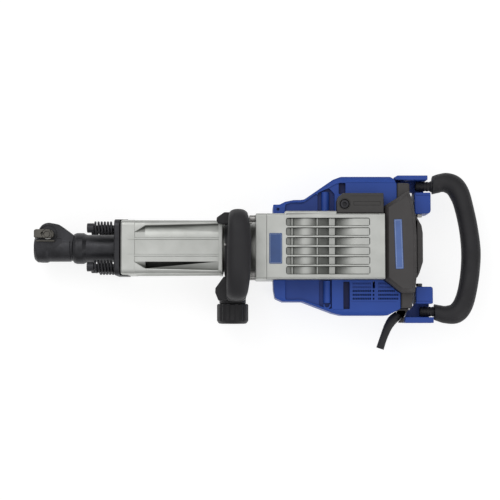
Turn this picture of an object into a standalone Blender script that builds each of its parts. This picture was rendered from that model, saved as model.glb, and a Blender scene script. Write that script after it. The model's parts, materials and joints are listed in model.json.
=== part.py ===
"""Electric jackhammer lying on its back.

Units are metres.  +X runs along the hammer axis towards the D-shaped rear handle, +Y runs
towards the brush side of the motor, and +Z points up through the finned front of the crankcase.
The origin is below the hammer axis, on the plane that the back of the tool lies on.
Every piece is an object of its own, and neighbours keep a gap of about 0.3 mm.
"""
import math

import bmesh
import bpy
from mathutils import Matrix, Vector

# ---- driving dimensions -------------------------------------------------------------------
AXIS_Z = 0.050          # height of the hammer axis above the resting plane
GAP = 0.0003            # gap between neighbouring pieces
NOSE_X = -0.377         # front end of the tool holder
TOOL_HEX = 0.030        # across flats of the tool shank socket
NOSE_R = 0.0243         # front ring of the tool holder
HOLDER_R = 0.0232       # outer radius of the tool holder sleeve
FLANGE_X = (-0.239, -0.230)
FLANGE_HALF = 0.0470    # half width of the front flange
BOLT_OFFSET = 0.0325    # flange bolts, from the hammer axis along Y and Z
BOLT_HEAD_X = (-0.285, -0.2735)
BARREL_X = (-0.229, -0.057)
COLLAR_END_X = -0.2015  # rear end of the barrel's front collar
BARREL_HALF = 0.0460    # half width of the square barrel
NECK_R = 0.040          # round neck that carries the side handle
BORE_R = 0.0353         # bore of the barrel
CASE_X = (-0.0025, 0.0154, 0.211)   # barrel flange, joint with the crankcase, rear end
CASE_HALF = 0.0545      # half width of the crankcase
CASE_TOP = 0.068        # front face of the crankcase above the hammer axis
WALL = 0.0045           # thickness of cast walls
SLOTS, SLOT_PITCH, SLOT_HALF = 6, 0.016, 0.00675    # cooling slots of the crankcase
VENT_HALF = 0.0019      # half height of the vents in the lower shell
SHELL_X = 0.0268        # front edge of the blue shells
SHELL_TOP = 0.035       # front face of the blue shells above the hammer axis
SHELL_INSIDE = 0.0265   # top of the space inside the blue shells
BRUSH_COVER_TOP = 0.062
COVER_TOP = 0.060       # front face of the rear cover above the hammer axis
CYLINDER_R = (0.0283, 0.035)
PISTON_R = 0.028
CRANK_X = 0.080
CRANK_RADIUS = 0.020
ROD_LENGTH = 0.098
MODULE_1, PINION_TEETH, IDLER_TEETH = 0.0015, 11, 44
MODULE_2, IDLER_PINION_TEETH, CRANK_TEETH = 0.002, 12, 38
IDLER_X = CRANK_X + MODULE_2 * (IDLER_PINION_TEETH + CRANK_TEETH) / 2
MOTOR_X = IDLER_X + MODULE_1 * (PINION_TEETH + IDLER_TEETH) / 2
RETAINER_XY = (-0.3525, 0.022)      # axis of the turning retainer pin
RETAINER_Z = (0.0243, 0.0246)       # top of the pin and underside of the lever, above the axis
KNOB_X = -0.0414
LEG_TOP = 0.0835        # joint between the side handle's legs and its grip
ROCKER_XY = (0.2738, 0.0)           # axis of the rocker switch
COVER_SCREW_XY = (0.145, 0.0703)    # screw of the brush cover
UPPER_STEM_Y, LOWER_STEM_Y = 0.1058, -0.1072    # stems of the D-shaped handle
BAND_X = (-0.0555, -0.0155)         # clamp band of the side handle

BLUE = (0.024, 0.063, 0.323)
BLACK = (0.024, 0.024, 0.027)
DARK_GREY = (0.042, 0.038, 0.040)
ALUMINIUM = (0.52, 0.53, 0.51)
STEEL = (0.42, 0.42, 0.42)
COPPER = (0.60, 0.28, 0.12)


# ---- helpers ------------------------------------------------------------------------------
def clear_scene():
    for obj in list(bpy.data.objects):
        bpy.data.objects.remove(obj, do_unlink=True)


def material(name, colour, metallic=0.0, roughness=0.5):
    mat = bpy.data.materials.new(name)
    mat.use_nodes = True
    shader = mat.node_tree.nodes["Principled BSDF"]
    shader.inputs["Base Color"].default_value = (*colour, 1.0)
    shader.inputs["Metallic"].default_value = metallic
    shader.inputs["Roughness"].default_value = roughness
    return mat


def at(x, y, above_axis):
    """A point given by its height above the hammer axis."""
    return Vector((x, y, AXIS_Z + above_axis))


def along(axis, a, b, c):
    """A point at height a along the axis, with b and c in the plane across it."""
    return {"X": Vector((a, b, c)), "Y": Vector((b, a, c)), "Z": Vector((b, c, a))}[axis]


def prism(outline, low, high, axis="Z"):
    """An outline extruded from low to high along an axis."""
    bm = bmesh.new()
    rings = [[bm.verts.new(along(axis, a, *p)) for p in outline] for a in (low, high)]
    bm.faces.new(rings[0])
    bm.faces.new(reversed(rings[1]))
    for i in range(len(outline)):
        j = (i + 1) % len(outline)
        bm.faces.new((rings[0][j], rings[0][i], rings[1][i], rings[1][j]))
    bmesh.ops.recalc_face_normals(bm, faces=bm.faces)
    return bm


def box(low, high):
    """A box between two corners, with Z measured from the hammer axis."""
    outline = [(low[0], low[1]), (high[0], low[1]), (high[0], high[1]), (low[0], high[1])]
    return prism(outline, AXIS_Z + low[2], AXIS_Z + high[2])


def arc(centre, radius, start, end, steps):
    """Points on an arc, with its angles in degrees."""
    angles = [math.radians(start + (end - start) * i / steps) for i in range(steps + 1)]
    return [(centre[0] + radius * math.cos(a), centre[1] + radius * math.sin(a)) for a in angles]


def rounded_rectangle(low, high, radius, steps=3):
    points = []
    for k, (x, y) in enumerate(((high[0] - radius, high[1] - radius), (low[0] + radius, high[1] - radius),
                                (low[0] + radius, low[1] + radius), (high[0] - radius, low[1] + radius))):
        points += arc((x, y), radius, 90 * k, 90 * k + 90, steps)
    return points


def lathe(profile, centre, axis="X", steps=24, ring=False):
    """A profile of (along, radius) points turned about an axis through centre.

    A ring's profile is closed on itself; any other one starts and ends at the axis.
    """
    bm = bmesh.new()
    u, v = {"X": (1, 2), "Y": (0, 2), "Z": (0, 1)}[axis]
    rows = []
    for a, r in profile:
        row = []
        for i in range(steps if r > 0 else 1):
            angle = 2 * math.pi * i / steps
            across = centre[u] + r * math.cos(angle), centre[v] + r * math.sin(angle)
            row.append(bm.verts.new(along(axis, a, *across)))
        rows.append(row)
    for first, second in zip(rows, rows[1:] + ([rows[0]] if ring else [])):
        for i in range(steps):
            j = (i + 1) % steps
            quad = [row[k % len(row)] for row, k in ((first, i), (first, j), (second, j), (second, i))]
            bm.faces.new(list(dict.fromkeys(quad)))
    bmesh.ops.recalc_face_normals(bm, faces=bm.faces)
    return bm


def cylinder(centre, radius, low, high, axis="X", steps=24):
    return lathe([(low, 0), (low, radius), (high, radius), (high, 0)], centre, axis, steps)


def tube(centre, inner, outer, low, high, axis="X", steps=24):
    profile = [(low, inner), (low, outer), (high, outer), (high, inner)]
    return lathe(profile, centre, axis, steps, ring=True)


def smooth_path(points, per_span=3):
    """A Catmull-Rom curve through (x, y, z, size, ...) points."""
    result = []
    for i in range(len(points) - 1):
        p = [points[max(0, min(len(points) - 1, i + k))] for k in (-1, 0, 1, 2)]
        for step in range(per_span):
            t = step / per_span
            weights = (-t + 2 * t * t - t ** 3, 2 - 5 * t * t + 3 * t ** 3,
                       t + 4 * t * t - 3 * t ** 3, -t * t + t ** 3)
            result.append(tuple(sum(w * q[k] for w, q in zip(weights, p)) / 2 for k in range(len(p[0]))))
    return result + [tuple(points[-1])]


def sweep(path, across, sides=12, bore=None, power=2.0, ends=None):
    """A section swept along (x, y, z, half thickness, half width) points.

    across is the direction of the half width.  power above 2 squares the section up, a bore
    radius makes a pipe that is open at both ends, and ends gives the directions of the two ends.
    """
    bm = bmesh.new()
    centres = [Vector(p[:3]) for p in path]
    outer, inner = [], []
    for i, p in enumerate(path):
        tangent = (centres[min(i + 1, len(path) - 1)] - centres[max(i - 1, 0)]).normalized()
        if ends and i in (0, len(path) - 1):
            tangent = Vector(ends[0 if i == 0 else 1])
        side = Vector(across)
        up = tangent.cross(side).normalized()
        side = up.cross(tangent).normalized()
        directions = []
        for k in range(sides):
            angle = 2 * math.pi * k / sides
            c, s = math.cos(angle), math.sin(angle)
            directions.append(tuple(math.copysign(abs(v) ** (2 / power), v) for v in (c, s)))
        outer.append([bm.verts.new(centres[i] + side * (c * p[4]) + up * (s * p[3])) for c, s in directions])
        if bore:
            hole = [centres[i] + side * (c * bore) + up * (s * bore) for c, s in directions]
            inner.append([bm.verts.new(co) for co in hole])
    rings = outer + inner[::-1] + [outer[0]] if bore else outer
    for first, second in zip(rings, rings[1:]):
        for k in range(sides):
            j = (k + 1) % sides
            bm.faces.new((first[k], first[j], second[j], second[k]))
    if not bore:
        bm.faces.new(outer[0])
        bm.faces.new(outer[-1])
    bmesh.ops.recalc_face_normals(bm, faces=bm.faces)
    return bm


def temporary(bm, name):
    mesh = bpy.data.meshes.new(name)
    bm.to_mesh(mesh)
    bm.free()
    obj = bpy.data.objects.new(name, mesh)
    bpy.context.scene.collection.objects.link(obj)
    return obj


def combine(base, others, operation):
    """The boolean of a bmesh with each of the others, as a new bmesh."""
    target = temporary(base, "target")
    tools = [temporary(bm, "tool") for bm in others]
    for tool in tools:
        modifier = target.modifiers.new("cut", "BOOLEAN")
        modifier.operation = operation
        modifier.solver = "EXACT"
        modifier.object = tool
    evaluated = target.evaluated_get(bpy.context.evaluated_depsgraph_get())
    result = bmesh.new()
    result.from_mesh(evaluated.to_mesh())
    evaluated.to_mesh_clear()
    for obj in [target] + tools:
        bpy.data.objects.remove(obj, do_unlink=True)
    bmesh.ops.remove_doubles(result, verts=result.verts, dist=1e-6)
    bmesh.ops.dissolve_degenerate(result, edges=result.edges, dist=1e-6)
    return result


def join(base, *others):
    return combine(base, others, "UNION")


def cut(base, *others):
    return combine(base, others, "DIFFERENCE")


def piece(name, bm, mat, origin=(0.0, 0.0, 0.0)):
    """A named object with its origin on its own joint's axis."""
    bm.transform(Matrix.Translation(-Vector(origin)))
    obj = temporary(bm, name)
    obj.location = origin
    obj.data.materials.append(mat)
    obj.data.shade_smooth()
    obj.data.set_sharp_from_angle(angle=math.radians(35))
    return obj


def flange_bolt_places():
    """The four (y, above axis) positions of the flange bolts."""
    return [(y, z) for y in (BOLT_OFFSET, -BOLT_OFFSET) for z in (BOLT_OFFSET, -BOLT_OFFSET)]


def gear_outline(module, teeth, phase=0.0, backlash=0.00012):
    """An involute outline in the plane across the shaft, with its first tooth at the phase angle."""
    pitch = module * teeth / 2
    pressure = math.radians(20)
    base, tip, root = pitch * math.cos(pressure), pitch + 0.85 * module, pitch - 1.2 * module
    half_tooth = (math.pi * module / 2 - backlash) / (2 * pitch)

    def half_angle(radius):
        turn = math.acos(min(1.0, base / max(radius, base)))
        return half_tooth + (math.tan(pressure) - pressure) - (math.tan(turn) - turn)

    points = []
    for tooth in range(teeth):
        middle = phase + 2 * math.pi * tooth / teeth
        flank = (root, pitch, tip) if teeth < 20 else (root, tip)
        for radius, side in [(r, -1) for r in flank] + [(r, 1) for r in reversed(flank)]:
            angle = middle + side * half_angle(radius)
            points.append((radius * math.cos(angle), radius * math.sin(angle)))
    return points


def gear(x, module, teeth, low, high, phase=0.0):
    outline = [(x + a, AXIS_Z + b) for a, b in gear_outline(module, teeth, phase)]
    return prism(outline, low, high, "Y")


# ---- front end ----------------------------------------------------------------------------
def tool_holder(mat):
    """The hexagonal tool socket, its hump for the retainer, and a seat inside the barrel."""
    axis = at(0, 0, 0)
    waist, collar, seat_r, seat_x = 0.0226, 0.0264, 0.033, (-0.2297, -0.190)
    turned = lathe([(NOSE_X, 0), (NOSE_X, 0.0185), (NOSE_X + 0.003, 0.0220), (NOSE_X + 0.009, NOSE_R),
                    (-0.356, NOSE_R), (-0.352, waist), (-0.3115, waist), (-0.3055, collar), (-0.2945, collar),
                    (-0.2885, HOLDER_R),
                    (seat_x[0], HOLDER_R), (seat_x[0], seat_r), (seat_x[1], seat_r), (seat_x[1], 0)], axis)
    hump = arc((-0.3520, 0.0250), 0.0177, 180, 75, 6)
    hump += [(-0.3405, 0.0410), (-0.3346, 0.0395), (-0.3250, 0.0327), (-0.3156, 0.0256), (-0.3087, 0.0205),
             (-0.3087, 0.0065), (-0.3697, 0.0065)]
    body = join(turned, prism(hump, AXIS_Z - 0.0212, AXIS_Z + 0.0191))
    corner = TOOL_HEX / math.sqrt(3)
    hexagon = [(y, AXIS_Z + z) for y, z in arc((0, 0), corner, 30, 330, 5)]
    for hole in (cylinder((*RETAINER_XY, 0), 0.0083, AXIS_Z - 0.03, AXIS_Z + 0.03, "Z", 20),
                 prism(hexagon, NOSE_X - 0.01, -0.300, "X"),
                 cylinder(axis, 0.0163, -0.301, -0.18)):
        body = cut(body, hole)
    return piece("tool_holder", body, mat)


def front_flange(mat):
    """A square plate with a thin skirt along each side of the barrel's collar."""
    half = FLANGE_HALF
    square = [(y, AXIS_Z + z) for y, z in rounded_rectangle((-half, -half), (half, half), 0.012)]
    plate = prism(square, *FLANGE_X, "X")
    skirts = []
    for side in (-1, 1):
        low, high = sorted((side * (BARREL_HALF + GAP), side * 0.0474))
        skirts.append(box((FLANGE_X[0] + 0.003, low, -0.028), (-0.217, high, 0.028)))
    holes = [cylinder(at(0, y, z), 0.0055, -0.25, -0.21, steps=8) for y, z in flange_bolt_places()]
    socket = cylinder(at(0, 0, 0), HOLDER_R + GAP, -0.25, -0.21)
    return piece("front_flange", cut(join(plate, *skirts), socket, *holes), mat)


def flange_bolt(name, y, z, mat):
    head, shank, tip = 0.008, 0.0046, -0.206
    low, high = BOLT_HEAD_X
    profile = [(low, 0), (low, head - 0.0012), (low + 0.0012, head), (high, head), (high, shank),
               (tip, shank), (tip, 0)]
    return piece(name, lathe(profile, at(0, y, z), steps=12), mat)


def damper_spring(name, y, z, mat):
    """A compression spring round a flange bolt, between its head and the flange."""
    turns, mean, wire, per_turn = 5.25, 0.0094, 0.0019, 8
    low, high = BOLT_HEAD_X[1] + GAP + wire, FLANGE_X[0] - GAP - wire
    steps = int(turns * per_turn)
    path = []
    for i in range(steps + 1):
        angle = 2 * math.pi * i / per_turn
        path.append((low + (high - low) * i / steps, y + mean * math.cos(angle),
                     AXIS_Z + z + mean * math.sin(angle), wire, wire))
    return piece(name, sweep(path, (1, 0, 0), sides=4), mat)


def retainer_pin(mat):
    """A cross pin with a hollow that frees the tool shank when the lever is turned."""
    x, y = RETAINER_XY
    head, shank = 0.0105, 0.008
    foot, ledge, top = (AXIS_Z + z for z in (-0.0255, -0.0219, RETAINER_Z[0]))
    profile = [(foot, 0), (foot, head), (ledge, head), (ledge, shank), (top, shank), (top, 0)]
    pin = lathe(profile, (x, y, 0), "Z", 20)
    hollow = cylinder(at(0, 0.049, 0), TOOL_HEX / 2 + 0.0025, x - 0.009, x + 0.009)
    return piece("retainer_pin", cut(pin, hollow), mat, (x, y, AXIS_Z))


def retainer_lever(mat):
    x, y = RETAINER_XY
    outline = [(-0.3745, 0.0165), (-0.352, 0.016), (-0.3435, 0.0165), (-0.3410, 0.0195), (-0.3410, 0.024),
               (-0.3455, 0.0295), (-0.350, 0.0306), (-0.3715, 0.0306), (-0.3745, 0.0285)]
    lever = prism(outline, AXIS_Z + RETAINER_Z[1], AXIS_Z + 0.0345)
    hole = cylinder((-0.3607, 0.0235, 0), 0.0024, AXIS_Z + 0.020, AXIS_Z + 0.036, "Z", 12)
    return piece("retainer_lever", cut(lever, hole), mat, (x, y, AXIS_Z))


# ---- barrel and percussion mechanism ------------------------------------------------------
def barrel_section():
    """The ribbed section of the barrel, one side turned four times, as (y, z) points."""
    half, corner_r = BARREL_HALF, 0.0095
    side = [(half, 0.0365), (0.0392, 0.0358), (0.0446, 0.0245), (0.0446, 0.0160), (half, 0.0158),
            (half, 0.0124), (0.0448, 0.0118)]
    side += [(y, -z) for y, z in reversed(side)]
    corner = arc((half - corner_r, half - corner_r), corner_r, 84, 6, 3)
    points = []
    for k in range(4):
        c, s = math.cos(math.pi / 2 * k), math.sin(math.pi / 2 * k)
        points += [(y * c + z * s, AXIS_Z - y * s + z * c) for y, z in corner + side]
    return points


def case_section():
    """The outline of the crankcase across the hammer axis."""
    return rounded_rectangle((-CASE_HALF, 0.0), (CASE_HALF, AXIS_Z + CASE_TOP), 0.004, 2)


def barrel_housing(mat):
    half = BARREL_HALF
    square = [(y, AXIS_Z + z) for y, z in rounded_rectangle((-half, -half), (half, half), 0.0095)]
    body = join(prism(square, BARREL_X[0], COLLAR_END_X, "X"),
                prism(barrel_section(), COLLAR_END_X - 0.004, -0.060, "X"),
                prism(square, -0.064, BARREL_X[1], "X"),
                cylinder(at(0, 0, 0), NECK_R, -0.060, CASE_X[0] + 0.004, steps=28),
                prism(case_section(), CASE_X[0], CASE_X[1], "X"))
    front = [cylinder(at(0, y, z), 0.0051, -0.25, -0.2045, steps=8) for y, z in flange_bolt_places()]
    rear = [cylinder(at(0, y, z), 0.0036, -0.02, 0.03, steps=8) for y, z in case_bolt_places()]
    bore = cylinder(at(0, 0, 0), BORE_R + GAP, -0.25, 0.03)
    return piece("barrel_housing", cut(body, bore, *front, *rear), mat)


def case_bolt_places():
    """The four (y, above axis) positions of the bolts between the barrel and the crankcase."""
    return [(y, z) for y in (0.0465, -0.0465) for z in (0.052, -0.041)]


def case_bolt(name, y, z, mat):
    head, shank, under = 0.0063, 0.0031, CASE_X[0] - GAP
    profile = [(under - 0.0105, 0), (under - 0.0105, head - 0.0008), (under - 0.0097, head), (under, head),
               (under, shank), (CASE_X[1] - 0.0015, shank), (CASE_X[1] - 0.0015, 0)]
    return piece(name, lathe(profile, at(0, y, z), steps=12), mat)


def cylinder_sleeve(mat):
    return piece("cylinder_sleeve", tube(at(0, 0, 0), *CYLINDER_R, -0.186, 0.010, steps=24), mat)


def impact_bolt(mat):
    profile = [(-0.298, 0), (-0.298, 0.013), (-0.294, 0.016), (-0.1895, 0.016), (-0.1895, 0.024),
               (-0.170, 0.024), (-0.166, 0.014), (-0.152, 0.014), (-0.152, 0)]
    return piece("impact_bolt", lathe(profile, at(0, 0, 0), steps=20), mat, at(-0.1895, 0, 0))


def striker(mat):
    profile = [(-0.137, 0), (-0.137, 0.012), (-0.126, 0.013), (-0.123, PISTON_R), (-0.098, PISTON_R),
               (-0.095, 0.026), (-0.095, 0)]
    return piece("striker", lathe(profile, at(0, 0, 0)), mat, at(-0.110, 0, 0))


def gudgeon_x():
    return CRANK_X - CRANK_RADIUS - ROD_LENGTH


def piston(mat):
    x = gudgeon_x()
    cup = lathe([(x - 0.020, 0), (x - 0.020, PISTON_R), (x + 0.026, PISTON_R), (x + 0.026, 0.022),
                 (x - 0.009, 0.022), (x - 0.012, 0.019), (x - 0.012, 0)], at(0, 0, 0))
    hole = cylinder((x, 0, AXIS_Z), 0.0053, -0.03, 0.03, "Y", 16)
    return piece("piston", cut(cup, hole), mat, at(x, 0, 0))


def gudgeon_pin(mat):
    return piece("gudgeon_pin", cylinder((gudgeon_x(), 0, AXIS_Z), 0.005, -0.0265, 0.0265, "Y", 16), mat,
                 at(gudgeon_x(), 0, 0))


def connecting_rod(mat):
    small, big = gudgeon_x(), CRANK_X - CRANK_RADIUS
    outline = [(small, AXIS_Z - 0.006), (big, AXIS_Z - 0.008), (big, AXIS_Z + 0.008), (small, AXIS_Z + 0.006)]
    rod = join(prism(outline, -0.005, 0.005, "Y"),
               cylinder((small, 0, AXIS_Z), 0.0095, -0.007, 0.007, "Y", 20),
               cylinder((big, 0, AXIS_Z), 0.0155, -0.007, 0.007, "Y", 24))
    eyes = [cylinder((small, 0, AXIS_Z), 0.0053, -0.01, 0.01, "Y", 16),
            cylinder((big, 0, AXIS_Z), 0.0083, -0.01, 0.01, "Y", 20)]
    return piece("connecting_rod", cut(rod, *eyes), mat, at(small, 0, 0))


def crank_pin(mat):
    x = CRANK_X - CRANK_RADIUS
    profile = [(-0.0088, 0), (-0.0088, 0.008), (0.0075, 0.008), (0.0075, 0.011), (0.0095, 0.011), (0.0095, 0)]
    return piece("crank_pin", lathe(profile, (x, 0, AXIS_Z), "Y", 20), mat, at(gudgeon_x(), 0, 0))


def crankshaft(mat):
    profile = [(-0.0500, 0), (-0.0500, 0.009), (-0.022, 0.009), (-0.022, 0.030), (-0.0092, 0.030),
               (-0.0092, 0)]
    return piece("crankshaft", lathe(profile, (CRANK_X, 0, AXIS_Z), "Y", 28), mat, at(CRANK_X, 0, 0))


def crank_gear(mat):
    wheel = gear(CRANK_X, MODULE_2, CRANK_TEETH, -0.042, -0.033)
    bore = cylinder((CRANK_X, 0, AXIS_Z), 0.0093, -0.06, -0.02, "Y", 20)
    return piece("crank_gear", cut(wheel, bore), mat, at(CRANK_X, 0, 0))


def idler_gear(mat):
    wheel = gear(IDLER_X, MODULE_1, IDLER_TEETH, -0.050, -0.044)
    pinion = gear(IDLER_X, MODULE_2, IDLER_PINION_TEETH, -0.0445, -0.032, math.pi / IDLER_PINION_TEETH)
    shaft = cylinder((IDLER_X, 0, AXIS_Z), 0.007, -0.033, -0.014, "Y", 16)
    return piece("idler_gear", join(wheel, pinion, shaft), mat, at(IDLER_X, 0, 0))


# ---- motor --------------------------------------------------------------------------------
def armature(mat):
    centre = (MOTOR_X, 0, AXIS_Z)
    body = lathe([(-0.0435, 0), (-0.0435, 0.006), (-0.014, 0.006), (-0.014, 0.0235), (0.044, 0.0235),
                  (0.046, 0.018), (0.050, 0.006), (0.093, 0.006), (0.093, 0)], centre, "Y", 24)
    pinion = gear(MOTOR_X, MODULE_1, PINION_TEETH, -0.050, -0.043)
    return piece("armature", join(body, pinion), mat, at(MOTOR_X, 0, 0))


def stator(mat):
    profile = [(-0.010, 0.0255), (-0.010, 0.0415), (0.040, 0.0415), (0.040, 0.0255)]
    return piece("stator", lathe(profile, (MOTOR_X, 0, AXIS_Z), "Y", 32, ring=True), mat)


def motor_ring(name, inner, outer, low, high, mat):
    """A turned piece on the motor shaft: the commutator or a bearing."""
    return piece(name, tube((MOTOR_X, 0, AXIS_Z), inner, outer, low, high, "Y"), mat, at(MOTOR_X, 0, 0))


def cooling_fan(mat):
    """Radial blades standing on a disc."""
    centre = (MOTOR_X, 0, AXIS_Z)
    blades, hub, reach, half = 8, 0.0105, 0.030, 0.0009
    outline = []
    for k in range(blades):
        middle = 2 * math.pi * k / blades
        for radius, side in ((hub, -1), (reach, -1), (reach, 1), (hub, 1)):
            angle = middle + side * half / radius
            outline.append((MOTOR_X + radius * math.cos(angle), AXIS_Z + radius * math.sin(angle)))
    disc = cylinder(centre, 0.031, -0.0285, -0.026, "Y", 20)
    bore = cylinder(centre, 0.0063, -0.04, 0.0, "Y", 16)
    body = cut(join(disc, prism(outline, -0.027, -0.0168, "Y")), bore)
    return piece("cooling_fan", body, mat, at(MOTOR_X, 0, 0))


def carbon_brush(name, side, mat):
    low, high = sorted((side * 0.0184, side * 0.034))
    return piece(name, box((MOTOR_X - 0.006, 0.061, low), (MOTOR_X + 0.006, 0.073, high)), mat)


# ---- housings -----------------------------------------------------------------------------
def slot_floor(steps=5):
    """Cutter outline of one cooling slot along X, as (x, above axis) points.

    The floor steps and curves with the gearcase below it.
    """
    deep = CASE_TOP - 0.0125
    floor = [(0.048, CASE_TOP - 0.008), (0.0575, CASE_TOP - 0.008), (0.0585, CASE_TOP - 0.005),
             (0.0605, CASE_TOP - 0.005), (0.0620, CASE_TOP - 0.010)]
    floor += [(0.062 + 0.046 * i / steps, CASE_TOP - 0.010 + 0.0065 * math.sin(math.pi * i / steps))
              for i in range(1, steps)]
    floor += [(0.108, CASE_TOP - 0.0115), (0.1165, CASE_TOP - 0.0115), (0.1175, CASE_TOP - 0.005),
              (0.1285, CASE_TOP - 0.005), (0.1295, deep)]
    floor += [(0.1295 + 0.0561 * i / steps, deep + 0.0095 * math.sin(math.pi / 2 * i / steps))
              for i in range(1, steps + 1)]
    return floor


def crankcase(mat):
    body = prism(case_section(), CASE_X[1] + GAP, CASE_X[2], "X")
    step = prism([(0.0435, 0.050), (0.1317, 0.050), (0.1317, 0.0583), (0.047, 0.0583), (0.0435, 0.0545)],
                 AXIS_Z + SHELL_TOP + GAP, AXIS_Z + CASE_TOP)
    cavity = box((0.021, -CASE_HALF + 0.004, -AXIS_Z + WALL), (0.25, CASE_HALF - 0.004, CASE_TOP - 0.0165))
    sleeve = cylinder(at(0, 0, 0), BORE_R, 0.0, 0.03)
    motor = cylinder((MOTOR_X, 0, AXIS_Z), 0.024, 0.04, 0.07, "Y")
    floor = slot_floor()
    outline = [(x, AXIS_Z + z) for x, z in floor]
    outline += [(floor[k][0], AXIS_Z + CASE_TOP + 0.005) for k in (-1, 0)]
    slots = []
    for k in range(SLOTS):
        middle = SLOT_PITCH * ((SLOTS - 1) / 2 - k)
        slots.append(prism(outline, middle - SLOT_HALF, middle + SLOT_HALF, "Y"))
    return piece("crankcase", cut(join(body, step), cavity, sleeve, motor, *slots), mat)


def upper_shell(mat):
    edge, top = CASE_HALF + GAP, AXIS_Z + SHELL_TOP
    outline = [(SHELL_X, edge), (0.2115, edge), (0.2115, 0.0687), (0.2341, 0.0826), (0.2341, 0.1065),
               (0.2300, 0.1150), (0.2240, 0.1190)] + arc((0.142, 0.103), 0.016, 90, 122, 2)
    outline += [(0.080, 0.0815), (0.074, 0.080), (0.063, 0.080), (0.047, 0.077), (0.0376, 0.072),
                (SHELL_X, 0.072)]
    inside = [box((0.034, 0.0, -0.046), (0.207, 0.0685, SHELL_INSIDE)),
              box((0.108, 0.05, -0.046), (0.207, 0.094, SHELL_INSIDE)),
              box((0.142, 0.05, -0.046), (0.207, 0.1135, SHELL_INSIDE))]
    front_panel = [(0.0395, 0.0555), (0.1015, 0.0555), (0.1015, 0.0905), (0.080, 0.0772), (0.074, 0.0765),
                   (0.051, 0.0765), (0.0395, 0.0705)]
    rear_panel = [(0.1265, 0.0925), (0.1265, 0.110), (0.141, 0.1155), (0.221, 0.1155), (0.2285, 0.110),
                  (0.2285, 0.083), (0.2095, 0.0925)]
    opening = box((0.1545, 0.054, 0.020), (0.2035, 0.085, 0.04))
    screw = cylinder((*COVER_SCREW_XY, 0), 0.0030, AXIS_Z + 0.02, AXIS_Z + 0.04, "Z", 12)
    body = cut(prism(outline, 0.0, top), *inside, prism(front_panel, top - 0.0055, top + 0.005),
               prism(rear_panel, top - 0.004, top + 0.005), opening, screw)
    return piece("upper_shell", body, mat)


def lower_shell(mat):
    edge, top = -CASE_HALF - GAP, AXIS_Z + SHELL_TOP
    outline = [(SHELL_X, edge), (0.030, -0.085), (0.043, -0.091), (0.076, -0.091), (0.1275, -0.1105),
               (0.142, -0.114), (0.2180, -0.114), (0.2396, -0.1026), (0.2396, -0.0768), (0.2358, -0.0749),
               (0.2115, edge)]
    inside = [box((0.034, -0.0845, -0.046), (0.207, 0.0, SHELL_INSIDE)),
              box((0.128, -0.105, -0.046), (0.207, -0.07, SHELL_INSIDE)),
              box((0.150, -0.1095, -0.046), (0.207, -0.10, SHELL_INSIDE))]
    front_panel = [(0.0465, -0.0555), (0.1045, -0.0555), (0.1045, -0.098), (0.0765, -0.0875),
                   (0.0465, -0.0875)]
    rear_panel = [(0.1265, -0.0555), (0.1525, -0.0555), (0.1525, -0.1015), (0.1265, -0.1045)]
    vents = []
    for row in range(5):
        y = -0.0607 - 0.0064 * row
        vents += [box((low, y - VENT_HALF, 0.02), (high, y + VENT_HALF, 0.04))
                  for low, high in ((0.160, 0.1885), (0.201, 0.205))]
    body = cut(prism(outline, 0.0, top), *inside, prism(front_panel, top - 0.0055, top + 0.005),
               prism(rear_panel, top - 0.004, top + 0.005), *vents)
    return piece("lower_shell", body, mat)


def brush_cover(mat):
    low, high = (0.132, 0.0551), (0.2098, 0.0886)
    top, corner = AXIS_Z + BRUSH_COVER_TOP, 0.011
    outline = [low, (high[0], low[1]), high]
    outline += arc((low[0] + corner, high[1] - corner), corner, 90, 180, 4)
    body = prism(outline, AXIS_Z + SHELL_TOP + GAP, top)
    inside = box((0.156, 0.0585, 0.030), (0.2063, 0.0850, BRUSH_COVER_TOP - 0.0035))
    seat = cylinder((*COVER_SCREW_XY, 0), 0.0078, top - 0.0065, top + 0.008, "Z", 20)
    shank = cylinder((*COVER_SCREW_XY, 0), 0.0030, AXIS_Z, top + 0.008, "Z", 12)
    low, high = BRUSH_COVER_TOP - 0.0008, BRUSH_COVER_TOP + 0.008
    grooves = [box((0.160, y - 0.0006, low), (0.204, y + 0.0006, high)) for y in (0.0690, 0.0738)]
    return piece("brush_cover", cut(body, inside, seat, shank, *grooves), mat)


def brush_cover_screw(mat):
    top, under, tip = (AXIS_Z + BRUSH_COVER_TOP - depth for depth in (0.0015, 0.0062, 0.034))
    profile = [(tip, 0), (tip, 0.0026), (under, 0.0026), (under, 0.0074), (top, 0.0074), (top, 0.0035),
               (top - 0.003, 0.0035), (top - 0.003, 0)]
    return piece("brush_cover_screw", lathe(profile, (*COVER_SCREW_XY, 0), "Z", 16), mat)


def rear_cover(mat):
    """A tall middle with a lower tab at each end."""
    right = [(0.2590, 0.075), (0.2630, 0.050), (0.2650, 0.020), (0.2650, -0.045), (0.2615, -0.077)]
    tall = [(0.2118, 0.0680), (0.2360, 0.0830), (0.2520, 0.094)] + right
    tall += [(0.2403, -0.0765), (0.2362, -0.0744), (0.2118, -0.0543)]
    tabs = [(0.2345, 0.070), (0.2345, 0.108), (0.2555, 0.108), (0.2560, 0.092)] + right
    tabs += [(0.2590, -0.102), (0.2403, -0.102), (0.2403, -0.05)]
    body = join(prism(tall, AXIS_Z - 0.047, AXIS_Z + COVER_TOP), prism(tabs, AXIS_Z - 0.047, AXIS_Z + 0.038))
    inside = [box((0.20, -0.049, -0.043), (0.2605, 0.050, COVER_TOP - 0.0045)),
              box((0.2440, -0.098, -0.043), (0.2510, 0.088, 0.034))]
    return piece("rear_cover", cut(body, *inside), mat)


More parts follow.
